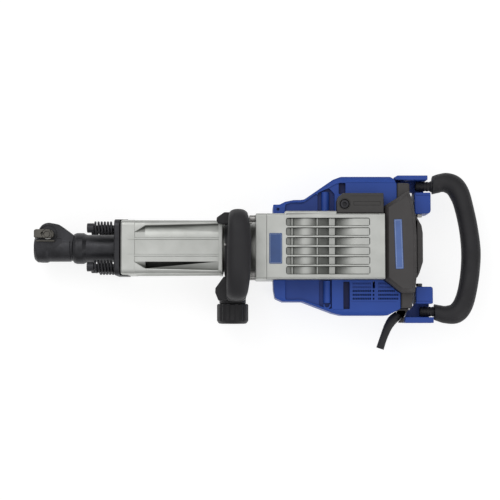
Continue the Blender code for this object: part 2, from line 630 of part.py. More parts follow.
def switch_cap(mat):
    outline = [(0.2653, -0.052), (0.2685, -0.0505), (0.2722, -0.043), (0.2783, -0.024), (0.2783, 0.024),
               (0.2763, 0.0368), (0.2665, 0.0546), (0.2653, 0.055)]
    body = prism(outline, AXIS_Z - 0.033, AXIS_Z + 0.033)
    well = box((0.2705, -0.0145, -0.0105), (0.29, 0.0145, 0.0105))
    pivot = cylinder((*ROCKER_XY, 0), 0.0016, AXIS_Z - 0.0135, AXIS_Z + 0.0135, "Z", 12)
    return piece("switch_cap", cut(body, well, pivot), mat)


def rocker_switch(mat):
    """A rocker with a shallow V face, which tips on two trunnions along Z."""
    x = ROCKER_XY[0]
    outline = [(x - 0.001, -0.0125), (x + 0.005, -0.0125), (x + 0.003, 0.0), (x + 0.005, 0.0125),
               (x - 0.001, 0.0125), (x - 0.003, 0.0)]
    trunnions = cylinder((*ROCKER_XY, 0), 0.0012, AXIS_Z - 0.013, AXIS_Z + 0.013, "Z", 12)
    body = join(prism(outline, AXIS_Z - 0.0095, AXIS_Z + 0.0095), trunnions)
    return piece("rocker_switch", body, mat, at(*ROCKER_XY, 0))


def nameplate(name, low, high, height, tilt, mat):
    """A plain plate on a front face, turned by tilt degrees."""
    plate = prism(rounded_rectangle(low, high, 0.0012, 2), AXIS_Z + height + GAP, AXIS_Z + height + 0.0011)
    middle = Vector(((low[0] + high[0]) / 2, (low[1] + high[1]) / 2, 0))
    turn = Matrix.Rotation(math.radians(tilt), 4, "Z")
    plate.transform(Matrix.Translation(middle) @ turn @ Matrix.Translation(-middle))
    return piece(name, plate, mat)


def cord_gland(mat):
    """The cord's way out of the rear cover, with a fin beside the bend protector."""
    outline = [(0.2403, -0.1023), (0.2575, -0.1023), (0.2512, -0.1096), (0.2467, -0.1192), (0.2460, -0.1262),
               (0.2390, -0.1262), (0.2443, -0.1190), (0.2494, -0.1115), (0.2490, -0.1068), (0.2350, -0.1068),
               (0.2356, -0.1050)]
    bore = cylinder((0.2425, 0, AXIS_Z), 0.0042, -0.108, -0.09, "Y", 12)
    return piece("cord_gland", cut(prism(outline, AXIS_Z - 0.012, AXIS_Z + 0.012), bore), mat)


def cord_guard(mat):
    """A tapered bend protector, open at both ends for the cord."""
    route = [(0.2398, -0.1118, 0.0070), (0.2355, -0.1160, 0.0080), (0.2286, -0.1224, 0.0083),
             (0.2215, -0.1335, 0.0073), (0.2139, -0.1520, 0.0064), (0.2080, -0.1697, 0.0066)]
    path = smooth_path([(x, y, AXIS_Z, r, r) for x, y, r in route], 2)
    ends = ((-0.55, -0.835, 0), (-0.316, -0.949, 0))
    return piece("cord_guard", sweep(path, (0, 0, 1), 10, 0.0042, ends=ends), mat)


# ---- rear handle --------------------------------------------------------------------------
def handle_bracket(name, plate, block, web, mat):
    """A channel that is open at the front: an outer plate, an inner block and a back web."""
    low, high = AXIS_Z - 0.026, AXIS_Z + 0.026
    parts = [prism(plate, low, high), prism(rounded_rectangle(*block, 0.004, 2), low, high - 0.002)]
    return piece(name, join(*parts, prism(web, low, low + 0.012)), mat)


def handle_brackets(mat):
    handle_bracket("handle_bracket_upper",
                   [(0.2300, 0.1180), (0.2335, 0.1145), (0.2875, 0.1145), (0.2875, 0.1220), (0.2370, 0.1220)],
                   ((0.2655, 0.0575), (0.2930, 0.0930)),
                   [(0.2655, 0.0600), (0.2860, 0.0600), (0.2860, 0.1200), (0.2345, 0.1200), (0.2345, 0.1088),
                    (0.2575, 0.1088), (0.2575, 0.0960), (0.2655, 0.0960)], mat)
    handle_bracket("handle_bracket_lower",
                   [(0.2485, -0.1265), (0.2960, -0.1265), (0.2960, -0.1168), (0.2485, -0.1168)],
                   ((0.2665, -0.0942), (0.2955, -0.0655)),
                   [(0.2485, -0.1245), (0.2940, -0.1245), (0.2940, -0.0675), (0.2665, -0.0675),
                    (0.2665, -0.0960), (0.2610, -0.1000), (0.2600, -0.1035), (0.2560, -0.1035)], mat)


def bracket_bolt(name, x, low, high, mat):
    return piece(name, cylinder((x, 0, AXIS_Z + 0.012), 0.0053, low, high, "Y", 12), mat)


def bellows(name, low, high, y, flare, mat):
    """A rubber sleeve with rolled folds round the handle's stem, flared towards the grip."""
    folds, inner, root, crest = 5, 0.0069, 0.0076, 0.0084
    outside = []
    for i in range(2 * folds + 1):
        widening = flare * max(0, i - 2 * folds + 1)
        outside.append((low + (high - low) * i / (2 * folds), (crest if i % 2 else root) + widening))
    profile = outside + [(high, inner), (low, inner)]
    return piece(name, lathe(profile, (0, y, AXIS_Z), "X", 14, ring=True), mat)


def handle_route():
    """Centre line of the D-shaped grip, from its upper end to its lower end, as (x, y, radius)."""
    return [(0.2982, UPPER_STEM_Y + 0.0004, 0.0138), (0.3045, 0.1092, 0.0153), (0.3120, 0.1118, 0.0156),
            (0.3235, 0.1122, 0.0170), (0.3360, 0.1066, 0.0177), (0.3448, 0.0933, 0.0174),
            (0.3513, 0.0739, 0.0162), (0.3593, 0.0362, 0.0160), (0.3635, -0.0039, 0.0165),
            (0.3617, -0.0400, 0.0162), (0.3561, -0.0738, 0.0162), (0.3481, -0.0974, 0.0170),
            (0.3365, -0.1100, 0.0172), (0.3200, -0.1122, 0.0150), (0.3080, -0.1098, 0.0137),
            (0.3003, LOWER_STEM_Y - 0.0004, 0.0130)]


def rear_grip(mat):
    path = [(x, y, AXIS_Z, r, r) for x, y, r in handle_route()]
    body = sweep(path, (0, 0, 1), 12, 0.0075, ends=((1, 0, 0), (-1, 0, 0)))
    return piece("rear_grip", body, mat, at(0.30, 0, 0))


def handle_core(mat):
    route = handle_route()
    radius = 0.0063
    points = [(0.2715, UPPER_STEM_Y), (0.2985, UPPER_STEM_Y)] + [(x, y) for x, y, r in route[1:-1]]
    points += [(0.3005, LOWER_STEM_Y), (0.2775, LOWER_STEM_Y)]
    path = [(x, y, AXIS_Z, radius, radius) for x, y in points]
    return piece("handle_core", sweep(path, (0, 0, 1), 8, ends=((1, 0, 0), (-1, 0, 0))), mat, at(0.30, 0, 0))


# ---- side handle --------------------------------------------------------------------------
def side_clamp_band(mat):
    band = tube(at(0, 0, 0), NECK_R + GAP, 0.0452, *BAND_X, steps=32)
    return piece("side_clamp_band", band, mat, at(0, 0, 0))


def side_handle_frame(mat):
    """A ring round the clamp band with two legs, and the boss of the clamp bolt on the lower one."""
    upper = [(-0.0305, 0.0400, 0.000, 0.0070, 0.0130), (-0.0305, 0.0490, 0.022, 0.0075, 0.0135),
             (-0.0305, 0.0505, 0.050, 0.0075, 0.0150), (-0.0310, 0.0500, LEG_TOP, 0.0080, 0.0155)]
    lower = [(-0.0360, -0.0790, 0.000, 0.0130, 0.0165), (-0.0350, -0.0800, 0.040, 0.0115, 0.0165),
             (-0.0340, -0.0795, LEG_TOP, 0.0112, 0.0165)]

    def leg(points):
        path = smooth_path([(x, y, AXIS_Z + z, t, w) for x, y, z, t, w in points], 2)
        return sweep(path, (1, 0, 0), 10, power=3, ends=((0, 0, 1), (0, 0, 1)))

    boss = cylinder((KNOB_X, 0, AXIS_Z), 0.0225, -0.094, -0.066, "Y")
    saddle = box((BAND_X[0] + 0.001, -0.070, -0.018), (BAND_X[1] - 0.001, -0.040, 0.018))
    upper_lug = prism([(-0.0340, 0.0361), (-0.0340, 0.0560), (-0.0545, 0.0560), (-0.0668, 0.0475),
                       (-0.0675, 0.0425), (-0.0651, 0.0377), (-0.0545, 0.0361)], AXIS_Z + 0.050, AXIS_Z + 0.070)
    lower_lug = prism([(-0.0553, -0.0500), (-0.0692, -0.0695), (-0.0695, -0.0768), (-0.0640, -0.0905),
                       (-0.034, -0.0860), (-0.034, -0.0640)], AXIS_Z + 0.047, AXIS_Z + 0.066)
    ring = tube(at(0, 0, 0), 0.0440, 0.0495, BAND_X[0] + 0.0006, BAND_X[1] - 0.0006, steps=32)
    body = join(ring, leg(upper), leg(lower), boss, saddle, upper_lug, lower_lug)
    bore = cylinder((KNOB_X, 0, AXIS_Z), 0.0063, -0.10, -0.03, "Y", 16)
    neck = cylinder(at(0, 0, 0), 0.0456, -0.085, 0.0, steps=36)
    barrel_clear = cylinder(at(0, 0, 0), 0.0620, -0.08, -0.0567, steps=28)
    return piece("side_handle_frame", cut(body, bore, neck, barrel_clear), mat, at(0, 0, 0))


def side_grip(mat):
    """An arched grip over the front of the tool, from the top of one leg to the other."""
    route = [(-0.0315, 0.0500, 0.0838, 0.0082, 0.0150), (-0.0312, 0.0475, 0.0960, 0.0115, 0.0156),
             (-0.0300, 0.0350, 0.1080, 0.0150, 0.0178), (-0.0291, 0.0050, 0.1100, 0.0160, 0.0192),
             (-0.0298, -0.0250, 0.1100, 0.0160, 0.0195), (-0.0308, -0.0520, 0.1065, 0.0155, 0.0190),
             (-0.0325, -0.0720, 0.0970, 0.0135, 0.0178), (-0.0340, -0.0795, 0.0838, 0.0112, 0.0165)]
    path = smooth_path([(x, y, AXIS_Z + z, t, w) for x, y, z, t, w in route], 2)
    ends = ((0, 0, 1), (0, 0, -1))
    return piece("side_grip", sweep(path, (1, 0, 0), 12, power=2.4, ends=ends), mat, at(0, 0, 0))


def side_knob(mat):
    """A fluted knob with a domed end."""
    flutes, radius, depth = 10, 0.0265, 0.0009
    outline = []
    for i in range(flutes * 4):
        r = radius - depth * (1 if i % 4 in (2, 3) else 0)
        angle = 2 * math.pi * i / (flutes * 4)
        outline.append((KNOB_X + r * math.cos(angle), AXIS_Z + r * math.sin(angle)))
    body = prism(outline, -0.1285, -0.0943, "Y")
    dome = lathe([(-0.090, 0), (-0.090, 0.030), (-0.0965, 0.0272), (-0.122, 0.0272), (-0.1262, 0.0235),
                  (-0.1283, 0.015), (-0.129, 0)], (KNOB_X, 0, AXIS_Z), "Y", 24)
    hole = cylinder((KNOB_X, 0, AXIS_Z), 0.0062, -0.120, -0.05, "Y", 16)
    return piece("side_knob", cut(combine(body, [dome], "INTERSECT"), hole), mat, at(KNOB_X, -0.11, 0))


def side_knob_bolt(mat):
    return piece("side_knob_bolt", cylinder((KNOB_X, 0, AXIS_Z), 0.0059, -0.1195, -0.0462, "Y", 16), mat,
                 at(KNOB_X, -0.11, 0))


# ---- assembly -----------------------------------------------------------------------------
def build():
    clear_scene()
    black_steel = material("black_steel", BLACK, 0.6, 0.42)
    cast = material("cast_aluminium", ALUMINIUM, 0.85, 0.38)
    blue = material("blue_plastic", BLUE, 0.0, 0.36)
    black = material("black_rubber", BLACK, 0.0, 0.6)
    grey = material("dark_grey_plastic", DARK_GREY, 0.0, 0.5)
    steel = material("bright_steel", STEEL, 1.0, 0.3)
    plate = material("nameplate_blue", (0.045, 0.09, 0.26), 0.0, 0.4)
    copper = material("copper", COPPER, 1.0, 0.35)
    carbon = material("carbon", (0.01, 0.01, 0.01), 0.0, 0.7)

    tool_holder(black_steel)
    front_flange(black_steel)
    retainer_pin(steel)
    retainer_lever(steel)
    for k, (y, z) in enumerate(flange_bolt_places(), 1):
        flange_bolt(f"flange_bolt_{k}", y, z, black_steel)
        damper_spring(f"damper_spring_{k}", y, z, black_steel)
    barrel_housing(cast)
    for k, (y, z) in enumerate(case_bolt_places(), 1):
        case_bolt(f"case_bolt_{k}", y, z, steel)
    for make in (cylinder_sleeve, impact_bolt, striker, piston, gudgeon_pin, connecting_rod, crank_pin,
                 crankshaft, crank_gear, idler_gear, stator):
        make(steel)
    armature(copper)
    motor_ring("commutator", 0.0063, 0.0180, 0.058, 0.076, copper)
    motor_ring("fan_side_bearing", 0.0063, 0.0150, -0.0405, -0.0300, steel)
    motor_ring("brush_side_bearing", 0.0063, 0.0130, 0.079, 0.088, steel)
    cooling_fan(grey)
    carbon_brush("carbon_brush_upper", 1, carbon)
    carbon_brush("carbon_brush_lower", -1, carbon)
    crankcase(cast)
    upper_shell(blue)
    lower_shell(blue)
    brush_cover(grey)
    brush_cover_screw(steel)
    rear_cover(grey)
    switch_cap(grey)
    rocker_switch(black)
    nameplate("case_nameplate", (0.0198, -0.0292), (0.0410, 0.0214), CASE_TOP, 0.0, plate)
    nameplate("cover_nameplate", (0.2280, -0.0374), (0.2409, 0.0450), COVER_TOP, 1.8, plate)
    cord_gland(grey)
    cord_guard(black)
    handle_brackets(blue)
    bracket_bolt("bracket_bolt_upper", 0.2740, 0.0520, 0.0572, steel)
    bracket_bolt("bracket_bolt_lower", 0.2735, -0.0652, -0.0600, black_steel)
    bellows("bellows_upper", 0.2700, 0.2979, UPPER_STEM_Y, 0.003, black)
    bellows("bellows_lower", 0.2760, 0.3000, LOWER_STEM_Y, 0.001, black)
    handle_core(steel)
    rear_grip(black)
    side_clamp_band(steel)
    side_handle_frame(black)
    side_grip(black)
    side_knob(black)
    side_knob_bolt(steel)


build()
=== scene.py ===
"""The finished look of the electric jackhammer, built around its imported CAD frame.

Units are metres.  Every visible piece is a finer mesh that stands for its CAD node, takes its
place from that node's box, and rides on the node's body.
"""
import json
import math

import bmesh
import bpy
from mathutils import Matrix, Vector


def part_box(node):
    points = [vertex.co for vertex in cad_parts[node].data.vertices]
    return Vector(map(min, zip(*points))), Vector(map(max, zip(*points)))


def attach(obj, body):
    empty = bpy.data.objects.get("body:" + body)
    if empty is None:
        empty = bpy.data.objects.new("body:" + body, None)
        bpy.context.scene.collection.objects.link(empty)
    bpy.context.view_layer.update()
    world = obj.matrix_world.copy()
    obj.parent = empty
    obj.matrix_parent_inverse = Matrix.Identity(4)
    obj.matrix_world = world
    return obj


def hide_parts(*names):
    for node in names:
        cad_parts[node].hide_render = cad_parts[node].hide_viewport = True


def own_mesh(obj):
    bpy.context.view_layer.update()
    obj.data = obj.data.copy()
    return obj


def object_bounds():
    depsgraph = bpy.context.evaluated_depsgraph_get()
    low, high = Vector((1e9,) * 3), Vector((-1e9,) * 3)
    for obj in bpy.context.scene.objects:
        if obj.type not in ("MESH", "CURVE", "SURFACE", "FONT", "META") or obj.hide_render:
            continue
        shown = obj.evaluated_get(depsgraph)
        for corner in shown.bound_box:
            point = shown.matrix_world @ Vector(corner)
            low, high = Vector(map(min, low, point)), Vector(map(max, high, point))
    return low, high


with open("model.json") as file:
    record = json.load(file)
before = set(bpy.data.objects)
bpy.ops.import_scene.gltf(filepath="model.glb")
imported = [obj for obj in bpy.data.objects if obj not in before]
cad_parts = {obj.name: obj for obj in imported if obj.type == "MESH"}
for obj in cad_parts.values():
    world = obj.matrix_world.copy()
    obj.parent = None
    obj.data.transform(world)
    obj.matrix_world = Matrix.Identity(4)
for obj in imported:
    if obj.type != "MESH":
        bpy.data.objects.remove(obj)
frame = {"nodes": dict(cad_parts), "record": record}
cad_low, cad_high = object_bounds()

AXIS_Z = sum(corner.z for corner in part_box("impact_bolt")) / 2
CASE_LOW, CASE_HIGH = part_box("crankcase")
BARREL_LOW, BARREL_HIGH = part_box("barrel_housing")
NOSE_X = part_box("tool_holder")[0].x
FLANGE_LOW, FLANGE_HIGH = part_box("front_flange")
CASE_TOP = CASE_HIGH.z - AXIS_Z
SHELL_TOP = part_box("upper_shell")[1].z - AXIS_Z
FLANGE_END_X = BARREL_HIGH.x
NECK_END_X = FLANGE_END_X - 0.018
BARREL_END_X = NECK_END_X - 0.0555
CASE_HALF = -CASE_LOW.y
BARREL_HALF = 0.0460
COLLAR_END_X = -0.2045
SHANK_HEX = 0.030
PIN_LOW, PIN_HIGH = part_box("retainer_pin")
RETAINER_XY = ((PIN_LOW.x + PIN_HIGH.x) / 2, (PIN_LOW.y + PIN_HIGH.y) / 2)


def bolt_places(boxes):
    """The middles of four bolts that lie along the hammer axis, as (y, above axis)."""
    return [((low.y + high.y) / 2, (low.z + high.z) / 2 - AXIS_Z) for low, high in boxes]


FLANGE_BOLTS = bolt_places([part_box(f"flange_bolt_{k}") for k in (1, 2, 3, 4)])
CASE_BOLTS = bolt_places([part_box(f"case_bolt_{k}") for k in (1, 2, 3, 4)])


# ---- mesh helpers -------------------------------------------------------------------------
def at(x, y, above_axis):
    return Vector((x, y, AXIS_Z + above_axis))


def along(axis, a, b, c):
    return {"X": Vector((a, b, c)), "Y": Vector((b, a, c)), "Z": Vector((b, c, a))}[axis]


def arc(centre, radius, start, end, steps):
    angles = [math.radians(start + (end - start) * i / steps) for i in range(steps + 1)]
    return [(centre[0] + radius * math.cos(a), centre[1] + radius * math.sin(a)) for a in angles]


def circle(centre, radius, steps):
    return arc(centre, radius, 0, 360 - 360 / steps, steps - 1)


class Outline(list):
    """A closed counter-clockwise outline that keeps its corners and the radius of each."""

    def __init__(self, corners, radii, steps):
        area = sum(p[0] * q[1] - q[0] * p[1] for p, q in zip(corners, corners[1:] + corners[:1]))
        order = 1 if area > 0 else -1
        self.corners, self.radii, self.steps = corners[::order], radii[::order], steps
        for i, (corner, radius) in enumerate(zip(self.corners, self.radii)):
            p = Vector(corner)
            back = Vector(self.corners[i - 1]) - p
            ahead = Vector(self.corners[(i + 1) % len(self.corners)]) - p
            half = back.angle(ahead) / 2
            if radius is None or half > math.radians(89.5):
                self.append(tuple(p))
                continue
            reach = min(radius / math.tan(half), 0.49 * back.length, 0.49 * ahead.length)
            centre = p + (back.normalized() + ahead.normalized()).normalized() * (reach / math.cos(half))
            first, last = p + back.normalized() * reach - centre, p + ahead.normalized() * reach - centre
            turn = first.angle_signed(last) if reach > 1e-7 else 0.0
            for k in range(steps + 1):
                spoke = first.copy()
                spoke.rotate(Matrix.Rotation(-turn * k / steps, 2))
                self.append(tuple(centre + spoke))

    def inset(self, distance):
        corners, radii = [], []
        for i, corner in enumerate(self.corners):
            p = Vector(corner)
            a = (p - Vector(self.corners[i - 1])).normalized()
            b = (Vector(self.corners[(i + 1) % len(self.corners)]) - p).normalized()
            na, nb = Vector((-a.y, a.x)), Vector((-b.y, b.x))
            middle = (na + nb).normalized()
            corners.append(tuple(p + middle * (distance / max(0.3, middle.dot(nb)))))
            convex = a.x * b.y - a.y * b.x > 0
            radius = self.radii[i]
            if radius is not None:
                radius = max(0.0, radius - distance if convex else radius + distance)
            radii.append(radius)
        return Outline(corners, radii, self.steps)


def rounded(corners, radii, steps=5):
    """An outline with its corners rounded, by one radius for all or one for each."""
    if not isinstance(radii, (list, tuple)):
        radii = [radii] * len(corners)
    return Outline(list(corners), [radius if radius > 0 else None for radius in radii], steps)


def rectangle(x0, y0, x1, y1, radius=0.0, steps=5):
    return rounded([(x0, y0), (x1, y0), (x1, y1), (x0, y1)], radius, steps)


def offset(outline, distance):
    """An outline moved inwards, or outwards for a negative distance."""
    return (outline if isinstance(outline, Outline) else rounded(outline, 0.0)).inset(distance)


def loft(rings, caps=True, closed=False):
    """Faces between rings of points with equal counts."""
    bm = bmesh.new()
    rows = [[bm.verts.new(p) for p in ring] for ring in rings]
    count = len(rows[0])
    for first, second in zip(rows, rows[1:] + ([rows[0]] if closed else [])):
        for k in range(count):
            j = (k + 1) % count
            bm.faces.new((first[k], first[j], second[j], second[k]))
    if caps and not closed:
        bm.faces.new(rows[0])
        bm.faces.new(rows[-1])
    bmesh.ops.remove_doubles(bm, verts=bm.verts, dist=1e-7)
    bmesh.ops.recalc_face_normals(bm, faces=bm.faces)
    return bm


def stack(outline, levels, axis="Z"):
    """A body through (inset, level) pairs of an outline."""
    return loft([[along(axis, level, *p) for p in offset(outline, inset)] for inset, level in levels])


def quarter(steps):
    """The sine and cosine of even steps through a quarter turn."""
    angles = [math.pi / 2 * k / steps for k in range(steps + 1)]
    return [(math.sin(a), math.cos(a)) for a in angles]


def slab(outline, low, high, top=0.0, bottom=0.0, axis="Z", steps=4):
    """An extruded outline with rounded edges at its two ends."""
    turn = quarter(steps)
    foot = [(bottom * (1 - s), low + bottom * (1 - c)) for s, c in turn] if bottom else [(0.0, low)]
    head = [(top * (1 - c), high - top * (1 - s)) for s, c in turn] if top else [(0.0, high)]
    return stack(outline, foot + head, axis)


def pocket(outline, floor, surface, lip=0.0005, base=0.0, axis="Z"):
    """A cutter for a recess with a rounded lip and a rounded foot."""
    out, turn, beyond = (-1 if surface < floor else 1), quarter(3), 0.02
    levels = [(base * (1 - s), floor + out * base * (1 - c)) for s, c in turn] if base else [(0.0, floor)]
    levels += [(-lip * (1 - c), surface - out * lip * (1 - s)) for s, c in turn]
    return stack(outline, levels + [(-lip, surface + out * beyond)], axis)


def box(low, high):
    """A block between two corners, whose third coordinates are heights above the axis."""
    return slab(rectangle(low[0], low[1], high[0], high[1]), AXIS_Z + low[2], AXIS_Z + high[2])


def lathe(profile, centre, axis="X", steps=48, ring=False):
    """A body turned from (along the axis, radius) points; ring joins the last point to the first."""
    bm = bmesh.new()
    u, v = {"X": (1, 2), "Y": (0, 2), "Z": (0, 1)}[axis]
    rows = []
    for a, r in profile:
        row = []
        for i in range(steps if r > 0 else 1):
            angle = 2 * math.pi * i / steps
            b, c = centre[u] + r * math.cos(angle), centre[v] + r * math.sin(angle)
            row.append(bm.verts.new(along(axis, a, b, c)))
        rows.append(row)
    for first, second in zip(rows, rows[1:] + ([rows[0]] if ring else [])):
        for i in range(steps):
            j = (i + 1) % steps
            corners = [row[k % len(row)] for row, k in ((first, i), (first, j), (second, j), (second, i))]
            bm.faces.new(list(dict.fromkeys(corners)))
    bmesh.ops.recalc_face_normals(bm, faces=bm.faces)
    return bm


def turned(points, radii, steps=4):
    """A turned profile with rounded corners, by one radius for all inner corners or one for each."""
    if not isinstance(radii, (list, tuple)):
        radii = [0.0] + [radii] * (len(points) - 2) + [0.0]
    return [(a, max(r, 0.0)) for a, r in rounded(points, radii, steps)]


def cylinder(centre, radius, low, high, axis="X", steps=48, edge=0.0):
    profile = [(low, 0), (low, radius), (high, radius), (high, 0)]
    return lathe(turned(profile, edge) if edge else profile, centre, axis, steps)


def tube(centre, inner, outer, low, high, axis="X", steps=48, edge=0.0):
    profile = [(low, inner), (low, outer), (high, outer), (high, inner)]
    return lathe(rounded(profile, edge, 3) if edge else profile, centre, axis, steps, ring=True)


def smooth_path(points, per_span):
    """A smooth curve through points of any number of values each."""
    result = []
    for i in range(len(points) - 1):
        p = [points[max(0, min(len(points) - 1, i + k))] for k in (-1, 0, 1, 2)]
        for step in range(per_span):
            t = step / per_span
            weights = (-t + 2 * t * t - t ** 3, 2 - 5 * t * t + 3 * t ** 3,
                       t + 4 * t * t - 3 * t ** 3, -t * t + t ** 3)
            result.append(tuple(sum(w * q[k] for w, q in zip(weights, p)) / 2 for k in range(len(p[0]))))
    return result + [tuple(points[-1])]


def sweep(path, across, sides=24, bore=None, power=2.0, ends=None):
    """A section swept along (x, y, z, half thickness, half width) points, with an optional bore.

    power 2 makes an ellipse and more makes it squarer; ends gives the directions of the two ends.
    """
    centres = [Vector(p[:3]) for p in path]
    outer, inner = [], []
    for i, p in enumerate(path):
        tangent = (centres[min(i + 1, len(path) - 1)] - centres[max(i - 1, 0)]).normalized()
        if ends and i in (0, len(path) - 1):
            tangent = Vector(ends[0 if i == 0 else 1])
        up = tangent.cross(Vector(across)).normalized()
        side = up.cross(tangent).normalized()
        spokes = []
        for k in range(sides):
            c, s = math.cos(2 * math.pi * k / sides), math.sin(2 * math.pi * k / sides)
            spokes.append((math.copysign(abs(c) ** (2 / power), c), math.copysign(abs(s) ** (2 / power), s)))
        outer.append([centres[i] + side * (c * p[4]) + up * (s * p[3]) for c, s in spokes])
        if bore:
            inner.append([centres[i] + side * (c * bore) + up * (s * bore) for c, s in spokes])
    if bore:
        return loft(outer + inner[::-1], closed=True)
    return loft(outer)


def temporary(bm, name="scratch"):
    mesh = bpy.data.meshes.new(name)
    bm.to_mesh(mesh)
    bm.free()
    obj = bpy.data.objects.new(name, mesh)
    bpy.context.scene.collection.objects.link(obj)
    return obj


def combine(base, others, operation):
    target = temporary(base)
    tools = [temporary(bm) for bm in others]
    for tool in tools:
        modifier = target.modifiers.new("combine", "BOOLEAN")
        modifier.operation = operation
        modifier.solver = "EXACT"
        modifier.object = tool
    evaluated = target.evaluated_get(bpy.context.evaluated_depsgraph_get())
    result = bmesh.new()
    result.from_mesh(evaluated.to_mesh())
    evaluated.to_mesh_clear()
    for obj in [target] + tools:
        bpy.data.objects.remove(obj, do_unlink=True)
    bmesh.ops.remove_doubles(result, verts=result.verts, dist=2e-6)
    return result


def join(base, *others):
    return combine(base, others, "UNION")


def cut(base, *others):
    return combine(base, others, "DIFFERENCE")


def several(parts):
    """Separate bodies in one bmesh, for cutters that don't touch."""
    bm = bmesh.new()
    for part in parts:
        mesh = bpy.data.meshes.new("scratch")
        part.to_mesh(mesh)
        part.free()
        bm.from_mesh(mesh)
        bpy.data.meshes.remove(mesh)
    return bm


BODIES = frame["record"]["behaviour"]["bodies"]
BODY_OF = {node: body for body, nodes in BODIES.items() for node in nodes}


def surfaced(name, bm, mat, sharp):
    """A mesh object with its material, smooth but for the edges sharper than an angle in degrees."""
    obj = temporary(bm, name)
    obj.data.materials.append(mat)
    obj.data.shade_smooth()
    obj.data.set_sharp_from_angle(angle=math.radians(sharp))
    return obj


def piece(name, bm, mat, *nodes, sharp=32):
    """A finished mesh that stands for CAD nodes and rides on their body."""
    obj = surfaced(name, bm, mat, sharp)
    shading = obj.modifiers.new("even_shading", "WEIGHTED_NORMAL")
    shading.keep_sharp = True
    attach(obj, BODY_OF[nodes[0]])
    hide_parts(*nodes)
    return obj


def detail(name, bm, mat, node):
    """A further mesh that belongs to the piece of a CAD node."""
    obj = surfaced(name, bm, mat, sharp=32)
    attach(obj, BODY_OF[node])


# ---- materials ----------------------------------------------------------------------------
class Shader:
    """A small wrapper for a Principled material and its nodes."""

    def __init__(self, name, colour, metallic, roughness):
        self.mat = bpy.data.materials.new(name)
        self.mat.use_nodes = True
        self.tree = self.mat.node_tree
        self.bsdf = self.tree.nodes["Principled BSDF"]
        self.bsdf.inputs["Base Color"].default_value = (*colour, 1.0)
        self.bsdf.inputs["Metallic"].default_value = metallic
        self.bsdf.inputs["Roughness"].default_value = roughness
        self.coords = self.tree.nodes.new("ShaderNodeTexCoord")
        self.height = None

    def node(self, kind, inputs=(), **settings):
        """A new node, with its settings and the values of its inputs."""
        node = self.tree.nodes.new(kind)
        for key, value in settings.items():
            setattr(node, key, value)
        for key, value in dict(inputs).items():
            node.inputs[key].default_value = value
        return node

    def link(self, source, target):
        self.tree.links.new(source, target)

    def place(self, stretch=(1.0, 1.0, 1.0)):
        mapping = self.node("ShaderNodeMapping", {"Scale": stretch})
        self.link(self.coords.outputs["Object"], mapping.inputs["Vector"])
        return mapping.outputs["Vector"]

    def noise(self, scale, detail=4.0, roughness=0.55, stretch=(1.0, 1.0, 1.0)):
        node = self.node("ShaderNodeTexNoise", {"Scale": scale, "Detail": detail, "Roughness": roughness})
        self.link(self.place(stretch), node.inputs["Vector"])
        return node.outputs["Fac"]

    def cells(self, scale):
        node = self.node("ShaderNodeTexVoronoi", {"Scale": scale})
        self.link(self.place(), node.inputs["Vector"])
        return node.outputs["Distance"]

    def height_above(self, base):
        """Local height over base, for painted shade that deepens in the recesses of a front face."""
        split = self.node("ShaderNodeSeparateXYZ")
        self.link(self.coords.outputs["Object"], split.inputs["Vector"])
        less = self.node("ShaderNodeMath", {1: base}, operation="SUBTRACT")
        self.link(split.outputs["Z"], less.inputs[0])
        return less.outputs[0]

    def reach_from_axis(self):
        """The larger of the distances from the hammer axis along Y and Z."""
        split = self.node("ShaderNodeSeparateXYZ")
        self.link(self.coords.outputs["Object"], split.inputs["Vector"])
        sides = []
        for source in (split.outputs["Y"], self.height_above(AXIS_Z)):
            size = self.node("ShaderNodeMath", operation="ABSOLUTE")
            self.link(source, size.inputs[0])
            sides.append(size.outputs[0])
        larger = self.node("ShaderNodeMath", operation="MAXIMUM")
        for side, socket in zip(sides, larger.inputs):
            self.link(side, socket)
        return larger.outputs[0]

    def both(self, first, second):
        """A factor that is high only where two others are."""
        node = self.node("ShaderNodeMath", operation="MULTIPLY")
        self.link(first, node.inputs[0])
        self.link(second, node.inputs[1])
        return node.outputs[0]

    def between(self, factor, low, high, from_low=0.3, from_high=0.7):
        """A factor spread from its own range, from_low to from_high, over low to high."""
        spread = {"From Min": from_low, "From Max": from_high, "To Min": low, "To Max": high}
        node = self.node("ShaderNodeMapRange", spread)
        self.link(factor, node.inputs["Value"])
        return node.outputs["Result"]

    def tint(self, factor, first, second):
        """A colour between two, by a factor; Mix keeps its colours in sockets 6 and 7, its result in 2."""
        node = self.node("ShaderNodeMix", {6: (*first, 1.0), 7: (*second, 1.0)}, data_type="RGBA")
        self.link(factor, node.inputs[0])
        return node.outputs[2]

    def cover(self, factor, under, over):
        """The colour output under, covered by the colour over where factor is 1."""
        node = self.node("ShaderNodeMix", {7: (*over, 1.0)}, data_type="RGBA")
        self.link(under, node.inputs[6])
        self.link(factor, node.inputs[0])
        return node.outputs[2]

    def colour(self, output):
        self.link(output, self.bsdf.inputs["Base Color"])

    def roughness(self, output):
        self.link(output, self.bsdf.inputs["Roughness"])

    def bump(self, output, depth, strength=1.0):
        node = self.node("ShaderNodeBump", {"Distance": depth, "Strength": strength})
        self.link(output, node.inputs["Height"])
        if self.height:
            self.link(self.height, node.inputs["Normal"])
        self.height = node.outputs["Normal"]
        self.link(self.height, self.bsdf.inputs["Normal"])

    def set(self, **values):
        for key, value in values.items():
            self.bsdf.inputs[key.replace("_", " ")].default_value = value
        return self


def shaded(colour, factor):
    return tuple(c * factor for c in colour)


